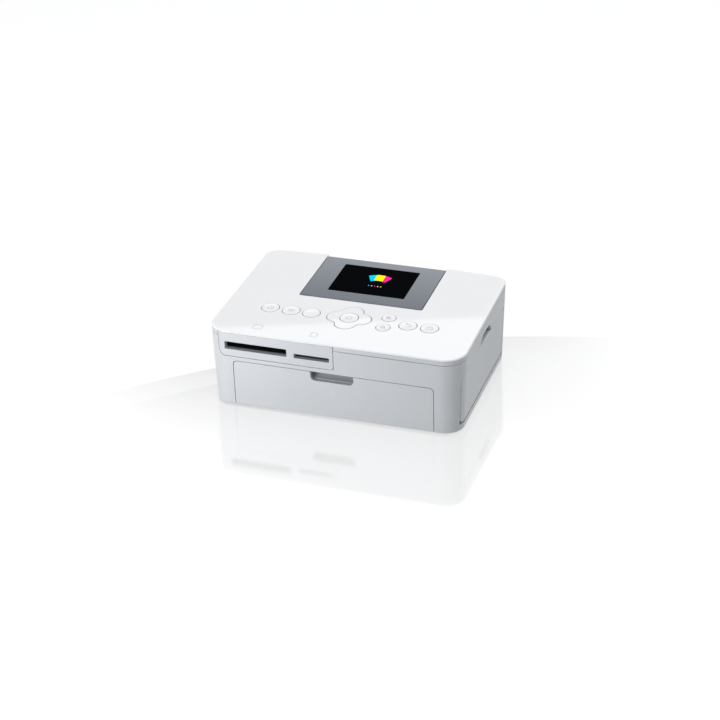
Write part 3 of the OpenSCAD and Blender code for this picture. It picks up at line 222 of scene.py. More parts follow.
def panel(bm, outer, holes, place, thick, roll=0.3, step=(3.0, 3.0), is_weld=lambda u, v: False):
    """Adds a moulded wall to bm: the region of a flat pattern, bent by place(u, v, depth), with rolled edges."""
    loops = [outer if area(outer) > 0 else outer[::-1]] + [h if area(h) < 0 else h[::-1] for h in holes]
    lines, ways, welds = zip(*(offset_ways(divided(loop, step), is_weld) for loop in loops))
    lines = [p - w * roll for p, w in zip(lines, ways)]
    rim = np.concatenate(lines)
    rim_way = np.concatenate(ways)
    starts = np.cumsum([0] + [len(p) for p in lines])
    edges = [(starts[i] + k, starts[i] + (k + 1) % len(p)) for i, p in enumerate(lines) for k in range(len(p))]
    weld = np.concatenate(welds)
    low, high = rim.min(0), rim.max(0)
    grid = np.array([(x, y) for x in np.arange(low[0] + step[0] / 2, high[0], step[0])
                     for y in np.arange(low[1] + step[1] / 2, high[1], step[1])]).reshape(-1, 2)
    grid = grid[inside(grid, lines)]
    room = [np.min(np.linalg.norm((rim - g) / step, axis=1)) for g in grid]
    flat = np.concatenate([rim, grid[np.array(room, float) > 0.6]])
    found, _, faces, _, _, _ = delaunay_2d_cdt([Vector(p) for p in flat], edges, [], 0, 1e-7)
    if len(found) != len(flat):
        raise ValueError("an outline crosses itself")
    middles = np.array([np.mean([flat[i] for i in f], 0) for f in faces])
    faces = [f for f, keep in zip(faces, inside(middles, lines)) if keep]
    front_layer = bm.verts.layers.float_vector.get("front") or bm.verts.layers.float_vector.new("front")
    back_layer = bm.verts.layers.float_vector.get("back") or bm.verts.layers.float_vector.new("back")
    side_layer = bm.faces.layers.int.get("side") or bm.faces.layers.int.new("side")

    def facing(u, v):
        h = 0.05
        along = np.subtract(place(u + h, v), place(u - h, v))
        across = np.subtract(place(u, v + h), place(u, v - h))
        n = np.cross(along, across)
        return n / np.linalg.norm(n), along / (2 * h), across / (2 * h)

    def add(u, v, depth, tip=0.0, way=(0.0, 0.0)):
        vert = bm.verts.new([c * MM for c in place(u, v, depth)])
        n, along, across = facing(u, v)
        out = along * way[0] + across * way[1]
        size = np.linalg.norm(out)
        out = out / size if size else n
        vert[front_layer] = n * math.cos(tip) + out * math.sin(tip)
        vert[back_layer] = -n
        return vert

    front = [add(u, v, 0) for u, v in flat]
    bends = [(roll * math.sin(t), roll * (1 - math.cos(t)), t) for t in np.radians((30, 60, 90))]
    bends.append((roll, thick, math.pi / 2))
    rings = []
    for i, (u, v) in enumerate(rim):
        way = rim_way[i]
        if not way.any():
            rings.append([front[i]] * 3 + [add(u, v, thick)])
            continue
        rings.append([add(*(rim[i] + way * o), d, t, way) for o, d, t in bends])
    back_verts = [ring[-1] for ring in rings] + [add(u, v, thick) for u, v in flat[len(rim):]]
    last_bend = len(bends)
    for f in faces:
        bm.faces.new([front[i] for i in f])
        bm.faces.new([back_verts[i] for i in reversed(f)])[side_layer] = 1
    for k, (a, b) in enumerate(edges):
        if weld[k]:
            continue
        chain_a, chain_b = [front[a]] + rings[a], [front[b]] + rings[b]
        for i in range(min(len(chain_a), len(chain_b)) - 1):
            corners = [chain_a[i], chain_a[i + 1], chain_b[i + 1], chain_b[i]]
            corners = [c for j, c in enumerate(corners) if c is not corners[j - 1]]
            if len(corners) > 2:
                bm.faces.new(corners)[side_layer] = 2 if i >= last_bend else 0


def panel_object(name, bm, weld=False):
    """Turns a mesh made of panels into an object, with the shading that the bent surfaces have."""
    if weld:
        bmesh.ops.remove_doubles(bm, verts=bm.verts, dist=0.03 * MM)
    mesh = bpy.data.meshes.new(name)
    bm.to_mesh(mesh)
    bm.free()
    mesh.polygons.foreach_set("use_smooth", [True] * len(mesh.polygons))
    front, back_way, side = (mesh.attributes[k].data for k in ("front", "back", "side"))
    normals = [None] * len(mesh.loops)
    for face in mesh.polygons:
        for corner in face.loop_indices:
            v = mesh.loops[corner].vertex_index
            if side[face.index].value == 0:
                normals[corner] = front[v].vector
            else:
                normals[corner] = back_way[v].vector if side[face.index].value == 1 else face.normal
    mesh.normals_split_custom_set(normals)
    for key in ("front", "back", "side"):
        mesh.attributes.remove(mesh.attributes[key])
    piece = bpy.data.objects.new(name, mesh)
    bpy.context.scene.collection.objects.link(piece)
    return piece


def fit(piece, finish, body, slot, *nodes):
    """Gives a piece its finish and its body, and hides the nodes that it stands for. The slot is not used."""
    piece.data.materials.clear()
    piece.data.materials.append(finish)
    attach(piece, body)
    if nodes:
        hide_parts(*nodes)
    return piece


class Signal:
    """A socket of a material's node tree. Sums and products of signals add their Math nodes."""

    def __init__(self, tree, socket=None):
        self.tree, self.socket = tree, socket

    def node(self, kind, settings, inputs, output=0):
        """Any node: its settings come first, then the values or links of its sockets."""
        made = self.tree.nodes.new(kind)
        for key, value in settings.items():
            if key == "stops":
                while len(made.color_ramp.elements) < len(value):
                    made.color_ramp.elements.new(0.5)
                for element, (place, colour) in zip(made.color_ramp.elements, value):
                    element.position, element.color = place, (*colour, 1)
            else:
                setattr(made, key, value)
        for key, value in inputs.items():
            if isinstance(value, Signal):
                self.tree.links.new(value.socket, made.inputs[key])
            else:
                made.inputs[key].default_value = value
        return Signal(self.tree, made.outputs[output] if made.outputs else None)

    def math(self, operation, a, b):
        return self.node("ShaderNodeMath", {"operation": operation}, {0: a, 1: b})

    def __add__(self, other):
        return self.math("ADD", self, other)

    def __radd__(self, other):
        return self.math("ADD", other, self)

    def __sub__(self, other):
        return self.math("SUBTRACT", self, other)

    def __rsub__(self, other):
        return self.math("SUBTRACT", other, self)

    def __mul__(self, other):
        return self.math("MULTIPLY", self, other)

    def __rmul__(self, other):
        return self.math("MULTIPLY", other, self)


def start_finish(name):
    """A new material, and a signal to start its nodes from."""
    finish = bpy.data.materials.new(name)
    finish.use_nodes = True
    finish.node_tree.nodes.clear()
    return finish, Signal(finish.node_tree)


def grain(s, scale, detail=3.0, stretch=(1, 1, 1)):
    """Noise that is fixed to the piece. scale is in cycles per metre."""
    place = s.node("ShaderNodeTexCoord", {}, {}, "Object")
    place = s.node("ShaderNodeMapping", {}, {"Vector": place, "Scale": stretch})
    return s.node("ShaderNodeTexNoise", {}, {"Vector": place, "Scale": scale, "Detail": detail}, "Fac")


def tint(s, factor, low, high):
    """A colour between low and high."""
    return s.node("ShaderNodeMix", {"data_type": "RGBA"}, {0: factor, 6: (*low, 1), 7: (*high, 1)}, 2)


def bumps(s, height, depth_mm):
    return s.node("ShaderNodeBump", {}, {"Height": height, "Distance": depth_mm * MM})


def surface(s, **inputs):
    """The material's shader, with sockets named in words joined by underscores."""
    inputs = {key.replace("_", " "): value for key, value in inputs.items()}
    shader = s.node("ShaderNodeBsdfPrincipled", {}, inputs)
    s.node("ShaderNodeOutputMaterial", {}, {"Surface": shader})


def moulded(name, colour, spread=0.03, rough=(0.4, 0.5), texture_mm=0.02, texture_scale=2600, **inputs):
    """Moulded plastic: cloudy colour, uneven sheen and a fine texture."""
    finish, s = start_finish(name)
    cloud = grain(s, 60, 4)
    fine = grain(s, texture_scale, 2)
    low = tuple(c * (1 - spread) for c in colour)
    high = tuple(min(1, c * (1 + spread)) for c in colour)
    surface(s, Base_Color=tint(s, cloud, low, high), Roughness=cloud * (rough[1] - rough[0]) + rough[0],
            Normal=bumps(s, fine, texture_mm), **inputs)
    return finish


def silver_paint():
    """Satin silver paint on plastic: fine flakes that glint, under a thin lacquer."""
    finish, s = start_finish("silver_paint")
    cloud = grain(s, 25, 3)
    flake = grain(s, 5200, 1)
    speck = s.node("ShaderNodeValToRGB", {"stops": [(0.45, (0, 0, 0)), (0.75, (1, 1, 1))]}, {"Fac": flake})
    colour = tint(s, cloud, (0.61, 0.636, 0.658), (0.65, 0.67, 0.692))
    colour = s.node("ShaderNodeMix", {"data_type": "RGBA"}, {0: speck * 0.25, 6: colour, 7: (0.8, 0.82, 0.84, 1)}, 2)
    surface(s, Base_Color=colour, Metallic=0.1, Roughness=0.4 + 0.1 * cloud - 0.05 * speck,
            Normal=bumps(s, flake, 0.004), Specular_IOR_Level=0.22, Coat_Weight=0.05, Coat_Roughness=0.12)
    return finish


silver = silver_paint()
wall = 2.2
plate_left, plate_right, plate_low = -80.2, 1.3, 37.8
plate_outer_r, plate_inner_r = 5, 2
door_half, door_top, door_r = 70, 34.3, 3
ink_y0, ink_y1, ink_low, ink_top = -55.5, 50, 6.4, 42.2
ink_front_r, ink_rear_r = 7, 2
scoop_half, scoop_top, scoop_arch = 14, 50, 49
# Room under the ink door for its lower edge, which swings down as the door opens
door_sweep = 1.6
exit_half, exit_low, exit_high = 54, 13.5, 19.5
inlet_x, inlet_z, inlet_half_w, inlet_half_h = 75.5, 11.4, 4.7, 5.7
fan_x, fan_z, fan_pitch, fan_slot_half_w, fan_slot_half_h = 34, 36.4, 2.7, 0.8, 9
port_y, port_half, port_low, port_high = -27.5, 5, 43.6, 49
vent_y, vent_pitch, vent_low, vent_high = 14, 5, 16, 34
terminal_x0, terminal_x1, terminal_z0, terminal_z1 = -46, -12, 27, 43


def under_top(drop, u0, u1):
    """Points from u0 to u1 round the casing, at a height of drop under the top's edge."""
    n = max(1, math.ceil(abs(u1 - u0) / 2.5))
    return [(u, top_z(round_casing(u, 0)[1]) - drop) for u in np.linspace(u0, u1, n + 1)]


def level(z, u0, u1):
    n = max(1, math.ceil(abs(u1 - u0) / 2.5))
    return [(u, z) for u in np.linspace(u0, u1, n + 1)]


def housing_pattern():
    """The housing's wall laid flat, from the join on the rear round the left side, front and right side."""
    u0, u1 = join_u - 2 * half_round, join_u
    plate0, plate1 = u_front(plate_left - seam), plate_right + seam
    open_x, open_z = door_half + seam, door_top + seam
    points = level(foot_h, u0, -open_x)
    points += arc(door_r - open_x, open_z - door_r, door_r, 180, 90, 6)
    points += arc(open_x - door_r, open_z - door_r, door_r, 90, 0, 6)
    points += level(foot_h, open_x, u1)
    points += under_top(skirt_h + seam / 2, u1, plate1)
    r, low = plate_inner_r, plate_low - seam
    points += arc(plate1 - r, low + r, r, 0, -90, 4)
    r = plate_outer_r
    points += arc(plate0 + r, low + r, r, -90, -180, 8)
    points += under_top(skirt_h + seam / 2, plate0, u0)
    return points


def ink_opening():
    """The ink door's opening together with the finger scoop above it."""
    u0, u1 = u_side(ink_y0) - seam, u_side(ink_y1) + seam
    low, top = ink_low - door_sweep, ink_top + seam
    s0, s1 = u_side(-scoop_half), u_side(scoop_half)
    r = ink_rear_r
    points = [(u0, low), (u1, low)] + arc(u1 - r, top - r, r, 0, 90, 4)
    points += [(s1 + (s0 - s1) * k / 24, top + (scoop_arch - top) * math.sqrt(1 - abs(k / 12 - 1) ** 3))
               for k in range(25)]
    r = ink_front_r
    return points + arc(u0 + r, top - r, r, 90, 180, 8)


def rear_hole(x0, z0, x1, z1, r):
    """A hole in the rear wall between two places x."""
    u0, u1 = sorted((u_rear(x0), u_rear(x1)))
    return rounded(u0, z0, u1, z1, (r,) * 4, 4)


wall_holes = [ink_opening(), rear_hole(-exit_half, exit_low, exit_half, exit_high, 1),
              rear_hole(inlet_x - inlet_half_w, inlet_z - inlet_half_h, inlet_x + inlet_half_w,
                        inlet_z + inlet_half_h, 0.6),
              rear_hole(terminal_x0 - seam, terminal_z0 - seam, terminal_x1 + seam, terminal_z1 + seam, 1),
              rounded(-u_side(port_y + port_half), port_low, -u_side(port_y - port_half), port_high, (0.6,) * 4, 4)]
for x in (fan_x + i * fan_pitch for i in range(-4, 5)):
    wall_holes.append(rear_hole(x - fan_slot_half_w, fan_z - fan_slot_half_h, x + fan_slot_half_w,
                                fan_z + fan_slot_half_h, 0.75))
for y in (vent_y + i * vent_pitch for i in range(6)):
    wall_holes.append(rounded(-u_side(y + 2), vent_low, -u_side(y), vent_high, (0.9,) * 4, 4))
housing = bmesh.new()
panel(housing, housing_pattern(), wall_holes, wall_place, wall,
      is_weld=lambda u, v: min(abs(u - join_u), abs(u - join_u + 2 * half_round)) < 0.01)
housing = panel_object("housing", housing, weld=True)
fit(housing, silver, "casing", "silver_satin", "main_housing")

# The finger scoop above the ink door is a bowl behind the wall, closed at its ends
scoop_u0, scoop_u1 = u_side(-scoop_half) - 1.5, u_side(scoop_half) + 1.5
bowl_low, bowl_h, bowl_behind, bowl_depth = 40, 11, 1.6, 4.8


def scoop_place(u, z, depth=0.0):
    end = min(1.0, abs(2 * (u - scoop_u0) / (scoop_u1 - scoop_u0) - 1))
    high = min(1.0, max(0.0, (z - bowl_low) / bowl_h))
    return wall_place(u, z, bowl_behind + bowl_depth * math.sqrt(1 - high ** 2) * math.sqrt(1 - end ** 8) + depth)


scoop = bmesh.new()
panel(scoop, rounded(scoop_u0, bowl_low, scoop_u1, scoop_top + 1, (1,) * 4, 3), [], scoop_place, 1.0,
      step=(1.5, 1.0))
fit(panel_object("ink_door_scoop", scoop), silver, "casing", "silver_satin")


# --- Top cover ---
# One glossy white panel with a rounded edge lies on a silver rim of the same moulding. The keys and the
# display drop into it, and the rim meets the housing at a fine line all the way round.


def gloss_white():
    """Polished white plastic under a clear lacquer, with the faintest waviness."""
    finish, s = start_finish("gloss_white")
    cloud = grain(s, 18, 2)
    wave = grain(s, 150, 2)
    surface(s, Base_Color=tint(s, cloud, (0.885, 0.888, 0.895), (0.915, 0.917, 0.92)),
            Roughness=0.3 + 0.08 * cloud, Normal=bumps(s, wave, 0.004), Coat_Weight=1.0, Coat_Roughness=0.03)
    return finish


white = gloss_white()
key_y = front_y + 39
keys_left, keys_right = (-56.5, -41.5, -27), (41.3, 56.3)
zoom_x, zoom_pitch = 26, 13.5
key_d, zoom_d, ok_d, key_gap = 12, 9.4, 12.4, 0.35
lobe_at, lobe_r, lobe_fillet = 8.2, 7.3, 3
lcd_w, lcd_l = 88, 64.4
lcd_front = rear_y - 0.6 - lcd_l
open_x = lcd_w / 2 + seam
open_r = 1.2
panel_drop = 1.0
panel_t = 1.0


def pad_outline(grow, n=8):
    """The four-way pad's outline: four lobes with a fillet between each two."""
    half = 2 * lobe_at * math.cos(math.pi / 4)
    away = (half + math.sqrt(half ** 2 + 4 * ((lobe_r + lobe_fillet) ** 2 - lobe_at ** 2))) / 2
    diagonal = away * math.cos(math.pi / 4)
    reach = math.degrees(math.atan2(diagonal, diagonal - lobe_at))
    points = []
    for turn in (0, 90, 180, 270):
        c, d = math.radians(turn), math.radians(turn + 45)
        points += arc(lobe_at * math.cos(c), lobe_at * math.sin(c), lobe_r + grow, turn - reach, turn + reach, 2 * n)
        points += arc(away * math.cos(d), away * math.sin(d), lobe_fillet - grow, turn + reach + 180,
                      turn + 270 - reach, n // 2)[1:-1]
    return points


def moved(points, x, y):
    return [(px + x, py + y) for px, py in points]


def circle(x, y, r, n=40):
    return arc(x, y, r, 0, 360 - 360 / n, n - 1)


def top_place(x, y, depth=0.0):
    return x, y, top_z(y) - depth


def edge_place(u, v, depth=0.0):
    """A point on the top's rounded edge, -v below the flat top as measured along the round."""
    turn = math.pi / 2 + v / edge_r
    x, y = round_casing(u, edge_r * (1 - math.cos(turn)) + depth * math.cos(turn))
    return x, y, top_z(y) - edge_r * (1 - math.sin(turn)) - depth * math.sin(turn)


inner_x = outline_xy[rear_right, 0] - edge_r * np.cos(outline_angle[rear_right])
open_u = np.interp(-open_x, -inner_x, outline_u[rear_right])
round_us = np.linspace(-open_u, open_u, math.ceil(open_u / 1.25) + 1)
top_pattern = [round_casing(u, edge_r) for u in round_us]
top_pattern += arc(open_x - open_r, lcd_front - seam + open_r, open_r, 0, -90, 5)
top_pattern += arc(open_r - open_x, lcd_front - seam + open_r, open_r, -90, -180, 5)
key_holes = [circle(x, key_y, key_d / 2 + key_gap) for x in keys_left + keys_right]
key_holes += [circle(zoom_x, key_y + k * zoom_pitch / 2, zoom_d / 2 + key_gap) for k in (-1, 1)]
key_holes.append(moved(pad_outline(key_gap), 0, key_y))


def on_round(x, y):
    """Whether a place lies where the flat top turns into the rounded edge."""
    return abs(x) > 70 or y < -55 or (y > 55 and abs(x) > open_x + 0.01)


edge_low = -edge_r * (math.pi / 2 - math.asin(1 - panel_drop / edge_r))
top = bmesh.new()
panel(top, top_pattern, key_holes, top_place, panel_t, roll=0.25, step=(6.0, 6.0), is_weld=on_round)
panel(top, [(u, edge_low) for u in round_us] + [(u, 0) for u in round_us[::-1]], [], edge_place, panel_t, roll=0.12,
      step=(3.0, 0.35), is_weld=lambda u, v: v > -0.001)
top = panel_object("top_panel", top, weld=True)
fit(top, white, "casing", "white_gloss", "top_cover")

rim = bmesh.new()
rim_top, rim_low = panel_drop + 0.1, skirt_h - seam / 2
for u0, u1 in ((plate_right + seam, open_u), (-open_u, u_front(plate_left - seam))):
    panel(rim, under_top(rim_low, u0, u1) + under_top(rim_top, u1, u0), [], wall_place, 1.8, roll=0.2)
fit(panel_object("top_rim", rim), silver, "casing", "silver_satin", "top_cover")


# --- Card plate ---
# A separate silver plate wraps round the front left corner. It has one mouth for large cards and one for
# small cards, each with straight walls down to the black sockets behind.

mouth_low, cf_high, sd_high = 43, 48.6, 46.2
cf_x0, cf_x1, sd_x0, sd_x1 = -75.5, -31.4, -26.2, -1.5
plate = bmesh.new()
panel(plate, rounded(u_front(plate_left), plate_low, plate_right, front_h - edge_r,
                     (plate_outer_r, plate_inner_r, 0.6, 0.6)),
      [rounded(u_front(cf_x0), mouth_low, cf_x1, cf_high, (0.5,) * 4, 3),
       rounded(sd_x0, mouth_low, sd_x1, sd_high, (0.5,) * 4, 3)], wall_place, 3.6)
fit(panel_object("card_plate", plate), silver, "casing", "silver_satin", "card_slot_plate")


# --- Paper door ---
# The front flap is hinged along its lower edge. A notch in its upper edge shows a hollow behind it, where a
# fingertip pulls the door open, and a small raised arrow points down below the notch.

notch_half, notch_low, notch_r = 15, 27.8, 3
flap_t = 2.4


def paper_door_pattern():
    whole = rounded(-door_half, foot_h, door_half, door_top, (0.4, 0.4, door_r, door_r))
    notch_at = len(whole) * 3 // 4
    points = whole[:notch_at]
    r = 0.8
    points += arc(notch_half + r, door_top - r, r, 90, 180, 3)
    points += arc(notch_half - notch_r, notch_low + notch_r, notch_r, 0, -90, 6)
    points += arc(notch_r - notch_half, notch_low + notch_r, notch_r, -90, -180, 6)
    points += arc(-notch_half - r, door_top - r, r, 0, 90, 3)
    return points + whole[notch_at:]


door = bmesh.new()
panel(door, paper_door_pattern(), [], wall_place, flap_t, roll=0.35, step=(5.0, 5.0))
fit(panel_object("paper_door_flap", door), silver, "paper_door", "silver_satin", "paper_door")

# The hollow behind the notch is a smooth bowl in the feed frame, darker than the door. Its colour is made far paler
# than the feed frame's grey, as painted light that makes up for the shade in the recess.
hollow_half, hollow_low, hollow_high = notch_half + 1.2, notch_low - 1.4, 37.4
hollow_middle, hollow_reach, hollow_behind, hollow_depth = 33, 7, 3.8, 5.2


def hollow_place(x, z, depth=0.0):
    end = min(1.0, abs(x) / hollow_half)
    high = min(1.0, max(-1.0, (z - hollow_middle) / hollow_reach))
    deep = hollow_depth * math.sqrt(1 - high ** 2) * math.sqrt(max(0.0, 1 - end ** 10))
    return x, front_y + hollow_behind + deep + depth, z


hollow = bmesh.new()
panel(hollow, rounded(-hollow_half, hollow_low, hollow_half, hollow_high, (2, 2, 1, 1)), [], hollow_place, 1.0,
      step=(1.6, 0.8))
# Painted light: a pale olive grey that offsets the shade inside the hollow.
lightened_hollow = moulded("hollow_grey_lightened", (0.86, 0.85, 0.79), 0.015, (0.5, 0.6), 0.004)
fit(panel_object("notch_hollow", hollow), lightened_hollow, "casing", "frame_grey")


# --- Ink door ---
# The right flap is hinged along its lower edge too. Its upper front corner is cut round, and a shelf inside
# its upper edge shows at the bottom of the scoop, where a fingertip catches it.

flap = bmesh.new()
panel(flap, rounded(u_side(ink_y0), ink_low, u_side(ink_y1), ink_top, (3.2, 0.9, ink_rear_r, ink_front_r)), [],
      wall_place, flap_t, roll=0.7, step=(4.0, 5.0))
shelf_u0, shelf_u1 = u_side(1 - scoop_half), u_side(scoop_half - 1)


def shelf_place(u, inward, depth=0.0):
    """A place on the shelf's upper side, inward from the door's face."""
    return wall_place(u, ink_top - 0.5 - depth, inward)


panel(flap, rounded(shelf_u0, 0.9, shelf_u1, 5.4, (0.4, 0.4, 1.5, 1.5), 4), [], shelf_place, 1.2, step=(3.0, 2.0))
fit(panel_object("ink_door_flap", flap), silver, "ink_door", "silver_satin", "ink_door")


# --- Terminal cover ---
# A silver snap-in cap in the rear wall closes the terminals. It follows the wall's curve, and a slot near
# its lower edge takes a fingernail.

nail_x0, nail_x1, nail_low, nail_high = -33, -25, 1.6, 3.2
cap = bmesh.new()
panel(cap, rounded(u_rear(terminal_x1), terminal_z0, u_rear(terminal_x0), terminal_z1, (0.8,) * 4, 4),
      [rounded(u_rear(nail_x1), terminal_z0 + nail_low, u_rear(nail_x0), terminal_z0 + nail_high, (0.6,) * 4, 4)],
      wall_place, wall)
fit(panel_object("terminal_cap", cap), silver, "casing", "silver_satin", "terminal_cover")


# --- Display ---
# A flat metallic frame tilts up about pins in its front edge. Its shell is rolled down at the front and
# rounded at the rear, and a tub under it carries the module behind the black window.

pivot_r, lcd_rear_r = 1.8, 5
pivot_y = lcd_front + pivot_r
pivot_z = top_z(pivot_y) - pivot_r / math.cos(slope)
lcd_len = lcd_l / math.cos(slope) - pivot_r
window_w, window_l, window_front = 54.8, 40, 12.4
# How far from the hinge line the painted reflection grows, making the display's lacquer paler towards the rear, in
# metres.
reflection_reach = 0.0625
front_turn = pivot_r * math.pi / 2
flat_len = lcd_len - lcd_rear_r
rear_turn = lcd_rear_r * math.radians(78)


def on_display(x, y, z):
    """A place given from the hinge line, with y along the sloping top and z square to it."""
    return x, pivot_y + y * math.cos(slope) - z * math.sin(slope), pivot_z + y * math.sin(slope) + z * math.cos(slope)


def display_place(x, v, depth=0.0):
    """A place on the display's shell, v along it from the foremost point."""
    if v < front_turn:
        turn, r, y, z = math.pi - v / pivot_r, pivot_r, 0, 0
    elif v < front_turn + flat_len:
        turn, r, y, z = math.pi / 2, pivot_r, v - front_turn, 0
    else:
        turn, r = math.pi / 2 - (v - front_turn - flat_len) / lcd_rear_r, lcd_rear_r
        y, z = flat_len, pivot_r - lcd_rear_r
    return on_display(x, y + (r - depth) * math.cos(turn), z + (r - depth) * math.sin(turn))


def display_lacquer():
    """Dark metallic lacquer, lightly brushed, with a painted reflection that makes it paler towards the rear."""
    finish, s = start_finish("display_lacquer")
    streak = grain(s, 900, 2, (0.04, 1, 1))
    cloud = grain(s, 30, 2)
    # Painted reflection: the lacquer's colour pales from the hinge towards the rear, standing in for light mirrored
    # there. The streaks are the real brushing.
    place = s.node("ShaderNodeTexCoord", {}, {}, "Object")
    painted_reflection = s.node("ShaderNodeSeparateXYZ", {}, {"Vector": place}, "Y") * (1 / reflection_reach)
    painted_reflection = s.node("ShaderNodeClamp", {}, {"Value": painted_reflection})
    colour = tint(s, painted_reflection + streak * 0.1, (0.084, 0.096, 0.115), (0.175, 0.195, 0.215))
    surface(s, Base_Color=colour, Metallic=0.75, Roughness=0.34 + 0.08 * cloud, Normal=bumps(s, streak, 0.003),
            Coat_Weight=0.15, Coat_Roughness=0.08)
    return finish


lacquer = display_lacquer()
display = bmesh.new()
window_v0 = window_front - pivot_r + front_turn
shell_x, shell_end, window_gap = lcd_w / 2 - 0.2, front_turn + flat_len + rear_turn, 0.15
window_x = window_w / 2 + window_gap
panel(display, rounded(-shell_x, 0.1, shell_x, shell_end, (2.6, 2.6, 1.2, 1.2)),
      [rounded(-window_x, window_v0 - window_gap, window_x, window_v0 + window_l + window_gap, (0.7,) * 4)],
      display_place, 1.5, roll=0.35, step=(6.0, 0.9))
tub_x, tub_y0, tub_y1, tub_low, tub_t = lcd_w / 2 - 0.5, 1.9, flat_len + 1, -4.8, 1.2


def tub(bm, outlines, z0, z1, place):
    """Adds a wall that stands between an outer and an inner outline."""
    (outer, inner) = outlines
    rings = [[bm.verts.new([c * MM for c in place(x, y, z)]) for x, y in loop]
             for loop, z in ((outer, z1), (outer, z0), (inner, z0), (inner, z1))]
    for a, b in zip(rings, rings[1:] + rings[:1]):
        for i in range(len(a)):
            j = (i + 1) % len(a)
            bm.faces.new([a[i], b[i], b[j], a[j]])


def plain_object(name, bm, sharp=40):
    """Turns a mesh into an object with smooth shading, creased where faces meet at more than sharp degrees."""
    bmesh.ops.recalc_face_normals(bm, faces=bm.faces)
    mesh = bpy.data.meshes.new(name)
    bm.to_mesh(mesh)
    bm.free()
    mesh.polygons.foreach_set("use_smooth", [True] * len(mesh.polygons))
    mesh.set_sharp_from_angle(angle=math.radians(sharp))
    piece = bpy.data.objects.new(name, mesh)
    bpy.context.scene.collection.objects.link(piece)
    return piece


fit(panel_object("display_shell", display), lacquer, "display", "display_grey", "lcd_frame")
display_tub = bmesh.new()
tub(display_tub, [rounded(-tub_x + i, tub_y0 + i, tub_x - i, tub_y1 - i, (2 - i,) * 4) for i in (0, tub_t)],
    tub_low, 0.8, on_display)
# The tub is black, and its wall rises into the seam round the shell. There the black also serves as painted shade,
# drawing the dark outline round the display.
tub_black_seam_shade = moulded("tub_black_seam_shade", (0.02, 0.021, 0.023), rough=(0.5, 0.6))
fit(plain_object("display_tub", display_tub), tub_black_seam_shade, "display", "display_grey", "lcd_frame")


def window_black():
    """Black lacquered glass."""
    finish, s = start_finish("window_black")
    cloud = grain(s, 40, 2)
    surface(s, Base_Color=tint(s, cloud, (0.001, 0.0015, 0.002), (0.002, 0.003, 0.003)),
            Roughness=0.12 + 0.04 * cloud, IOR=1.02)
    return finish


def window_place(x, v, depth=0.0):
    return on_display(x, v - front_turn, pivot_r - 0.12 - depth)


window = bmesh.new()
panel(window, rounded(-window_w / 2, window_v0, window_w / 2, window_v0 + window_l, (0.5,) * 4, 3), [],
      window_place, 1.1, roll=0.1, step=(8.0, 8.0))
fit(panel_object("display_window", window), window_black(), "display", "display_black", "lcd_window")


# --- Picture on the display ---
# A lit demonstration picture: three fanned photo cards in ink colours over a row of small dots. Each is a
# thin layer under the window's gloss.


def lit(name, colour):
    """A glowing colour with the faint rows of a screen's pixels in it."""
    finish, s = start_finish(name)
    rows = grain(s, 3000, 1)
    glow = tint(s, rows, tuple(c * 0.9 for c in colour), colour)
    surface(s, Base_Color=tint(s, rows, tuple(c * 0.2 for c in colour), tuple(c * 0.25 for c in colour)),
            Emission_Color=glow, Emission_Strength=1.0, Roughness=0.3 + 0.05 * rows, IOR=1.04)
    return finish


def turned_by(points, degrees, x, y):
    c, d = math.cos(math.radians(degrees)), math.sin(math.radians(degrees))
    return [(x + px * c - py * d, y + px * d + py * c) for px, py in points]


picture_x, picture_v = 2.5, window_v0 + 22.5
layer = 0.03


def picture_part(name, pattern, finish, lift):
    part = bmesh.new()
    panel(part, pattern, [], lambda x, v, depth=0.0: on_display(x, v - front_turn, pivot_r - 0.1 + lift - depth),
          layer, roll=0.01, step=(4.0, 4.0))
    fit(panel_object(name, part), finish, "display", "display_black")


ink_colours = {"yellow": (1.0, 0.9, 0.0), "cyan": (0.0, 0.62, 0.85), "magenta": (0.95, 0.02, 0.3)}
inks = {key: lit("lit_" + key, colour) for key, colour in ink_colours.items()}
card = rounded(-3.1, -4.2, 3.1, 4.2, (0.9,) * 4, 4)
fan_v, fan_reach = picture_v - 7, 10
for k, (key, tilt) in enumerate((("cyan", 24), ("magenta", -24), ("yellow", 0))):
    sway = math.radians(tilt)
    shape = turned_by(card, tilt, picture_x - fan_reach * math.sin(sway), fan_v + fan_reach * math.cos(sway))
    picture_part("card_" + key, shape, inks[key], 0.02 + 0.03 * k)
pale = lit("lit_white", (0.8, 0.8, 0.82))
dot_v, dot_pitch = picture_v - 9.5, 2.2
for k, finish in enumerate((inks["cyan"], pale, inks["magenta"], pale, inks["yellow"])):
    picture_part(f"picture_dot_{k}", circle(picture_x + dot_pitch * (k - 2), dot_v, 0.5, 12), finish, 0.02)


# --- Keys ---
# Round white keys and a four-way pad stand level with the top. Each has a softly rounded edge and stops
# against the cover with a flange below.

key_proud = 0.25


def key_place(x0, y0):
    """Places given from a key's middle, square to the sloping top."""
    def place(x, y, z):
        return (x0 + x, y0 + y * math.cos(slope) - z * math.sin(slope),
                top_z(y0) + y * math.sin(slope) + z * math.cos(slope))
    return place


def turned(bm, profile, place, n=64):
    """Adds a solid turned from a profile of (radius, height) that starts and ends on the axis."""
    rings = []
    for r, z in profile:
        if r == 0:
            rings.append([bm.verts.new([c * MM for c in place(0, 0, z)])] * n)
        else:
            rings.append([bm.verts.new([c * MM for c in place(*xy, z)]) for xy in circle(0, 0, r, n)])
    for a, b in zip(rings, rings[1:]):
        for i in range(n):
            j = (i + 1) % n
            corners = [a[i], b[i], b[j], a[j]]
            corners = [c for k, c in enumerate(corners) if c not in corners[:k]]
            if len(corners) > 2:
                bm.faces.new(corners)


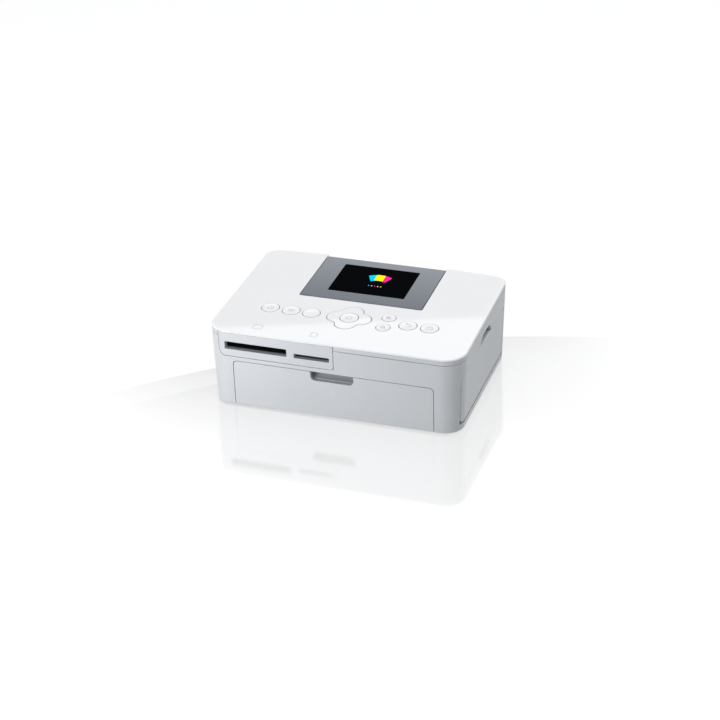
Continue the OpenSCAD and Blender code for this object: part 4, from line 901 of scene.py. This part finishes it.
def key_profile(r, proud, low):
    """A key's half section: dished top, rolled edge, straight side and flange."""
    roll, stem_r = 0.45, 1.6
    flange, flange_top, flange_low = 0.8, -2.4, -3.2
    dish = [(0, proud - 0.12), (r * 0.35, proud - 0.105), (r * 0.6, proud - 0.06), (r * 0.8, proud - 0.01)]
    edge = [(x, z) for x, z in arc(r - roll, proud - roll, roll, 90, 0, 5)]
    return dish + edge + [(r, flange_top), (r + flange, flange_top), (r + flange, flange_low), (stem_r, flange_low),
                          (stem_r, low), (0, low)]


round_keys = [("power", keys_left[0], 0, key_d), ("menu", keys_left[1], 0, key_d), ("edit", keys_left[2], 0, key_d),
              ("back", keys_right[0], 0, key_d), ("print", keys_right[1], 0, key_d),
              ("zoom_in", zoom_x, zoom_pitch / 2, zoom_d), ("zoom_out", zoom_x, -zoom_pitch / 2, zoom_d)]
for name, x, y, d in round_keys:
    key = bmesh.new()
    turned(key, key_profile(d / 2, key_proud, -4), key_place(x, key_y + y))
    fit(plain_object(name + "_key", key, 60), white, name + "_key", "white_gloss", name + "_button")
key = bmesh.new()
turned(key, key_profile(ok_d / 2, key_proud + 0.1, -4.5), key_place(0, key_y))
fit(plain_object("ok_key", key, 60), white, "ok_key", "white_gloss", "ok_button")

pad = bmesh.new()
pad_flat = key_place(0, key_y)


def pad_place(x, y, depth=0.0):
    swell = 0.12 * max(0.0, 1 - (math.hypot(x, y) / 16) ** 2)
    return pad_flat(x, y, key_proud + swell - 0.1 - depth)


panel(pad, pad_outline(0), [circle(0, 0, ok_d / 2 + key_gap, 48)], pad_place, 3.2, roll=0.5, step=(1.6, 1.6))
fit(panel_object("four_way_pad", pad), white, "rocker", "white_gloss", "nav_pad")


# --- Printed marks ---
# Thin grey symbols are printed on the keys and on the top. A small raised arrow, moulded with the flap,
# marks each door.

ink_grey = moulded("print_grey", (0.33, 0.34, 0.36), rough=(0.35, 0.45))
mark_t = 0.02


def ribbon(bm, points, width, place, closed=False):
    """Adds a thin line of even width along points."""
    p = np.array(points, float)
    n = len(p)
    rows = []
    for i in range(n):
        before = p[(i - 1) % n] if closed or i else p[i]
        after = p[(i + 1) % n] if closed or i < n - 1 else p[i]
        way = (after - before) / np.linalg.norm(after - before)
        side = np.array([-way[1], way[0]]) * width / 2
        rows.append([bm.verts.new([c * MM for c in place(*xy, z)])
                     for xy, z in ((p[i] + side, mark_t), (p[i] - side, mark_t), (p[i] - side, 0), (p[i] + side, 0))])
    for a, b in zip(rows, rows[1:] + rows[:1] if closed else rows[1:]):
        for k in range(4):
            bm.faces.new([a[k], a[(k + 1) % 4], b[(k + 1) % 4], b[k]])
    if not closed:
        bm.faces.new(rows[0])
        bm.faces.new(rows[-1][::-1])


def mark(name, lines, width, place, body, slot, finish=ink_grey):
    """A printed or raised mark made of lines, each (points, closed)."""
    bm = bmesh.new()
    for points, closed in lines:
        ribbon(bm, points, width, place, closed)
    fit(plain_object(name, bm), finish, body, slot)


def on_key(x, y, proud=key_proud - 0.1):
    place = key_place(x, y)
    return lambda px, py, z: place(px, py, proud + z)


symbols = {
    "power": (keys_left[0], 0, [(arc(0, 0, 1.5, 120, 420, 14), False), ([(0, 0.3), (0, 2)], False)]),
    "menu": (keys_left[1], 0, [([(-1.5, k), (1.5, k)], False) for k in (-1, 0, 1)]),
    "back": (keys_right[0], 0, [(arc(0.2, 0, 1.3, -90, 90, 10), False), ([(0.2, 1.3), (-1.4, 1.3)], False),
                                ([(-0.7, 2), (-1.5, 1.3), (-0.7, 0.6)], False)]),
    "print": (keys_right[1], 0, [([(-1.7, -0.9), (-1.7, 0.7), (1.7, 0.7), (1.7, -0.9)], True),
                                 ([(-1, 0.7), (-1, 1.7), (1, 1.7), (1, 0.7)], False)]),
    "zoom_in": (zoom_x, zoom_pitch / 2, [(arc(-0.3, 0.3, 1.1, 0, 345, 15), True), ([(0.5, -0.5), (1.5, -1.5)], False),
                                         ([(-0.9, 0.3), (0.3, 0.3)], False), ([(-0.3, -0.3), (-0.3, 0.9)], False)]),
    "zoom_out": (zoom_x, -zoom_pitch / 2, [(arc(-0.3, 0.3, 1.1, 0, 345, 15), True),
                                           ([(0.5, -0.5), (1.5, -1.5)], False), ([(-0.9, 0.3), (0.3, 0.3)], False)]),
}
symbol_size = 1.35
for name, (x, y, lines) in symbols.items():
    lines = [([(px * symbol_size, py * symbol_size) for px, py in points], closed) for points, closed in lines]
    mark(name + "_mark", lines, 0.34, on_key(x, key_y + y), name + "_key", "white_gloss")
mark("ok_mark", [(arc(0, 0, 2, 0, 345, 24), True)], 0.3, on_key(0, key_y, key_proud), "ok_key", "white_gloss")


def on_cover(px, py, z):
    return px, py, top_z(py) + z


def card_shape(x, y, w, h, left_cut, right_cut):
    """The outline of a memory card with its upper corners cut off."""
    x0, x1, y0, y1 = x - w / 2, x + w / 2, y - h / 2, y + h / 2
    points = [(x0, y0), (x1, y0), (x1, y1 - right_cut), (x1 - right_cut, y1)]
    return points + ([(x0 + left_cut, y1), (x0, y1 - left_cut)] if left_cut else [(x0, y1)])


for name, shape in (("large_card_mark", card_shape(-55.2, -52.3, 6.4, 5.2, 1, 1)),
                    ("small_card_mark", card_shape(-15.2, -52.8, 4.2, 5.6, 0, 1.2))):
    mark(name, [(shape, True)], 0.35, on_cover, "casing", "white_gloss")


def on_door(px, pz, out):
    return wall_place(px, pz, 0.01 - out)


def arrow(x, half, top, tip):
    return [([(x - half, top), (x + half, top), (x, tip)], True)]


raised = moulded("raised_silver", (0.8, 0.81, 0.82), rough=(0.3, 0.4))
mark("paper_door_arrow", arrow(0, 1.7, 21.2, 17.4), 0.4, on_door, "paper_door", "silver_satin", raised)
mark("ink_door_arrow", arrow(u_side(3), 1.8, 36.5, 32.5), 0.4, on_door, "ink_door", "silver_satin", raised)


# --- Works inside ---
# The chassis, rollers, gears, boards and sockets keep their own solids, and get the finishes of sheet
# steel, rubber, natural gear plastic and circuit board.

steel_sheet = moulded("steel_sheet", (0.62, 0.63, 0.65), 0.05, (0.28, 0.4), 0.004, 1800, Metallic=0.95)
dark_rubber = moulded("dark_rubber", (0.05, 0.05, 0.053), 0.1, (0.7, 0.8), 0.05, 1500)
black_moulding = moulded("black_moulding", (0.022, 0.022, 0.024), 0.1, (0.4, 0.5), 0.02, 2200)
base_grey = moulded("base_grey", (0.62, 0.64, 0.66), 0.02, (0.45, 0.55), 0.03, 1600)
inner_grey = moulded("inner_grey", (0.36, 0.38, 0.4), 0.03, (0.45, 0.6), 0.02, 2000)
dark_grey = moulded("dark_grey", (0.13, 0.135, 0.145), 0.05, (0.5, 0.6), 0.03, 1800)
pale_cassette = moulded("pale_cassette", (0.72, 0.72, 0.73), 0.02, (0.4, 0.5))
natural_gear = moulded("natural_gear", (0.82, 0.79, 0.72), 0.03, (0.3, 0.4), 0.008, 1500)
silicone = moulded("silicone", (0.6, 0.6, 0.61), 0.03, (0.55, 0.65), 0.02, 1200)
board_green = moulded("board_green", (0.02, 0.16, 0.06), 0.25, (0.25, 0.35), 0.02, 900)
extruded = moulded("extruded_aluminium", (0.75, 0.76, 0.78), 0.04, (0.3, 0.38), 0.006, 700, Metallic=1.0)
glazed = moulded("glazed_ceramic", (0.72, 0.66, 0.56), 0.03, (0.12, 0.2), 0.003, 800)
amber_film = moulded("amber_film", (0.7, 0.42, 0.05), 0.1, (0.12, 0.2), 0.01, 400)
dye_film = moulded("dye_film", (0.16, 0.02, 0.09), 0.2, (0.15, 0.22), 0.01, 400)
works = {
    base_grey: ["base_plate"],
    dark_rubber: ["rubber_feet", "pickup_tyres", "platen_roller"],
    black_moulding: ["cf_card_socket", "sd_card_socket", "dc_inlet", "fan_frame", "fan_rotor", "feed_motor"],
    inner_grey: ["feed_frame", "feed_deck"],
    dark_grey: ["lcd_back_cover", "display_tray"],
    steel_sheet: ["case_screws", "lcd_module", "lcd_hinge_pins", "usb_port", "pickup_axle", "chassis_left",
                  "chassis_right", "capstan_roller", "pinch_roller", "head_arm", "head_springs", "camshaft",
                  "head_motor", "motor_bracket"],
    silicone: ["key_mat"],
    board_green: ["key_board", "main_board"],
    natural_gear: ["cam_gear", "head_pinion", "feed_pinion", "idler_gear", "capstan_gear", "takeup_spindle"],
    extruded: ["heat_sink"],
    glazed: ["thermal_head"],
    pale_cassette: ["ribbon_cassette"],
    dye_film: ["supply_spool"],
    amber_film: ["takeup_spool", "ribbon_film"],
}
for finish, names in works.items():
    for name in names:
        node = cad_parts[name]
        node.data.materials.clear()
        node.data.materials.append(finish)


# --- Studio ---
# A pale glossy table under soft boxes. Its far part is a broad round sweep, a little greyer than the white
# around it, and it carries the printer's shadow and a faint mirror image.

floor_half = 2500
sweep_x, sweep_y, sweep_r = 259, -450, 565
sweep_turn, sweep_half = math.radians(119.4), math.radians(19.5)
sweep_fade, second_edge = 60, 22
sweep_grey, second_grey = 0.34, 0.2
white_share, mirror_share = 0.82, 0.2
table_glow = 0.03


def seen_directly(s):
    """1 for rays from the eye, from a mirror and through glass, which see the background white."""
    rays = [s.node("ShaderNodeLightPath", {}, {}, f"Is {kind} Ray") for kind in ("Camera", "Glossy", "Transmission")]
    return s.node("ShaderNodeClamp", {}, {"Value": rays[0] + rays[1] + rays[2]})


def table_gloss():
    """White for the eye, with a grey sweep that fades towards the viewer and to both sides."""
    finish, s = start_finish("table_gloss")
    place = s.node("ShaderNodeTexCoord", {}, {}, "Object")
    x, y = (s.node("ShaderNodeSeparateXYZ", {}, {"Vector": place}, k) * 1000 for k in ("X", "Y"))
    x, y = x - sweep_x, y - sweep_y
    depth = sweep_r - s.math("SQRT", x * x + y * y, 0)
    turn = (s.math("ARCTAN2", y, x) - sweep_turn) * (1 / sweep_half)
    across = s.math("MAXIMUM", 1 - turn * turn, 0)
    edge = s.node("ShaderNodeClamp", {}, {"Value": depth * 0.7})
    leftward = s.node("ShaderNodeClamp", {}, {"Value": turn * 2})
    second = s.node("ShaderNodeClamp", {}, {"Value": (depth - second_edge) * 0.3}) * leftward
    grey = (edge * sweep_grey + second * second_grey) * across * s.math("EXPONENT", depth * (-1 / sweep_fade), 0)
    tone = tint(s, grey, (1, 1, 1), (0, 0, 0))
    plain = s.node("ShaderNodeBsdfDiffuse", {}, {"Color": (0.95, 0.95, 0.95, 1)})
    white_out = s.node("ShaderNodeEmission", {}, {"Color": tone, "Strength": 1.05})
    dimmer = s.node("ShaderNodeEmission", {}, {"Color": (1, 1, 1, 1), "Strength": table_glow})
    white_out = s.node("ShaderNodeMixShader", {}, {0: seen_directly(s), 1: dimmer, 2: white_out})
    mirror = s.node("ShaderNodeBsdfGlossy", {}, {"Color": (1, 1, 1, 1), "Roughness": 0.09})
    seen = s.node("ShaderNodeMixShader", {}, {0: white_share, 1: plain, 2: white_out})
    both = s.node("ShaderNodeMixShader", {}, {0: mirror_share, 1: seen, 2: mirror})
    s.node("ShaderNodeOutputMaterial", {}, {"Surface": both})
    return finish


floor_mesh = bpy.data.meshes.new("table")
floor_corners = [(x * floor_half * MM, y * floor_half * MM, 0) for x, y in ((-1, -1), (1, -1), (1, 1), (-1, 1))]
floor_mesh.from_pydata(floor_corners, [], [(0, 1, 2, 3)])
floor_mesh.materials.append(table_gloss())
table = bpy.data.objects.new("table", floor_mesh)
bpy.context.scene.collection.objects.link(table)

world_light = 0.4
world = bpy.data.worlds.new("studio")
world.use_nodes = True
world.node_tree.nodes.clear()
sky = Signal(world.node_tree)
lit_part = sky.node("ShaderNodeBackground", {}, {"Color": (0.93, 0.96, 1, 1), "Strength": world_light})
seen_part = sky.node("ShaderNodeBackground", {}, {"Color": (1, 1, 1, 1), "Strength": 1.0})
shown = sky.node("ShaderNodeMixShader", {}, {0: seen_directly(sky), 1: lit_part, 2: seen_part})
sky.node("ShaderNodeOutputWorld", {}, {"Surface": shown})
bpy.context.scene.world = world


def soft_box(name, at, aim, width, height, power):
    """A plain rectangular soft box that faces a point."""
    data = bpy.data.lights.new(name, "AREA")
    data.shape, data.size, data.size_y, data.energy = "RECTANGLE", width, height, power
    lamp = bpy.data.objects.new(name, data)
    lamp.location = at
    lamp.rotation_euler = (Vector(aim) - Vector(at)).to_track_quat("-Z", "Y").to_euler()
    bpy.context.scene.collection.objects.link(lamp)


overhead_power, right_power, left_power, rear_power = 3.4, 2.1, 0.92, 4.9
soft_box("overhead", (0, 0.3, 1.1), (0, 0, 0), 1.2, 0.9, overhead_power)
soft_box("right", (0.7, -0.1, 0.9), (0, 0, 0), 1.2, 0.9, right_power)
soft_box("left_front", (-0.22, -0.38, 0.05), (-0.04, -0.06, 0.03), 0.22, 0.09, left_power)
# The upright box behind the printer is mirrored in the front part of the top, and its lower edge gives the
# fine line across the gloss.
turned_away = Vector((-math.sin(view_turn), math.cos(view_turn), 0))
soft_box("rear", turned_away * 0.87 + Vector((0, 0, 0.914)), (0, 0, 0.06), 2.4, 0.58, rear_power)
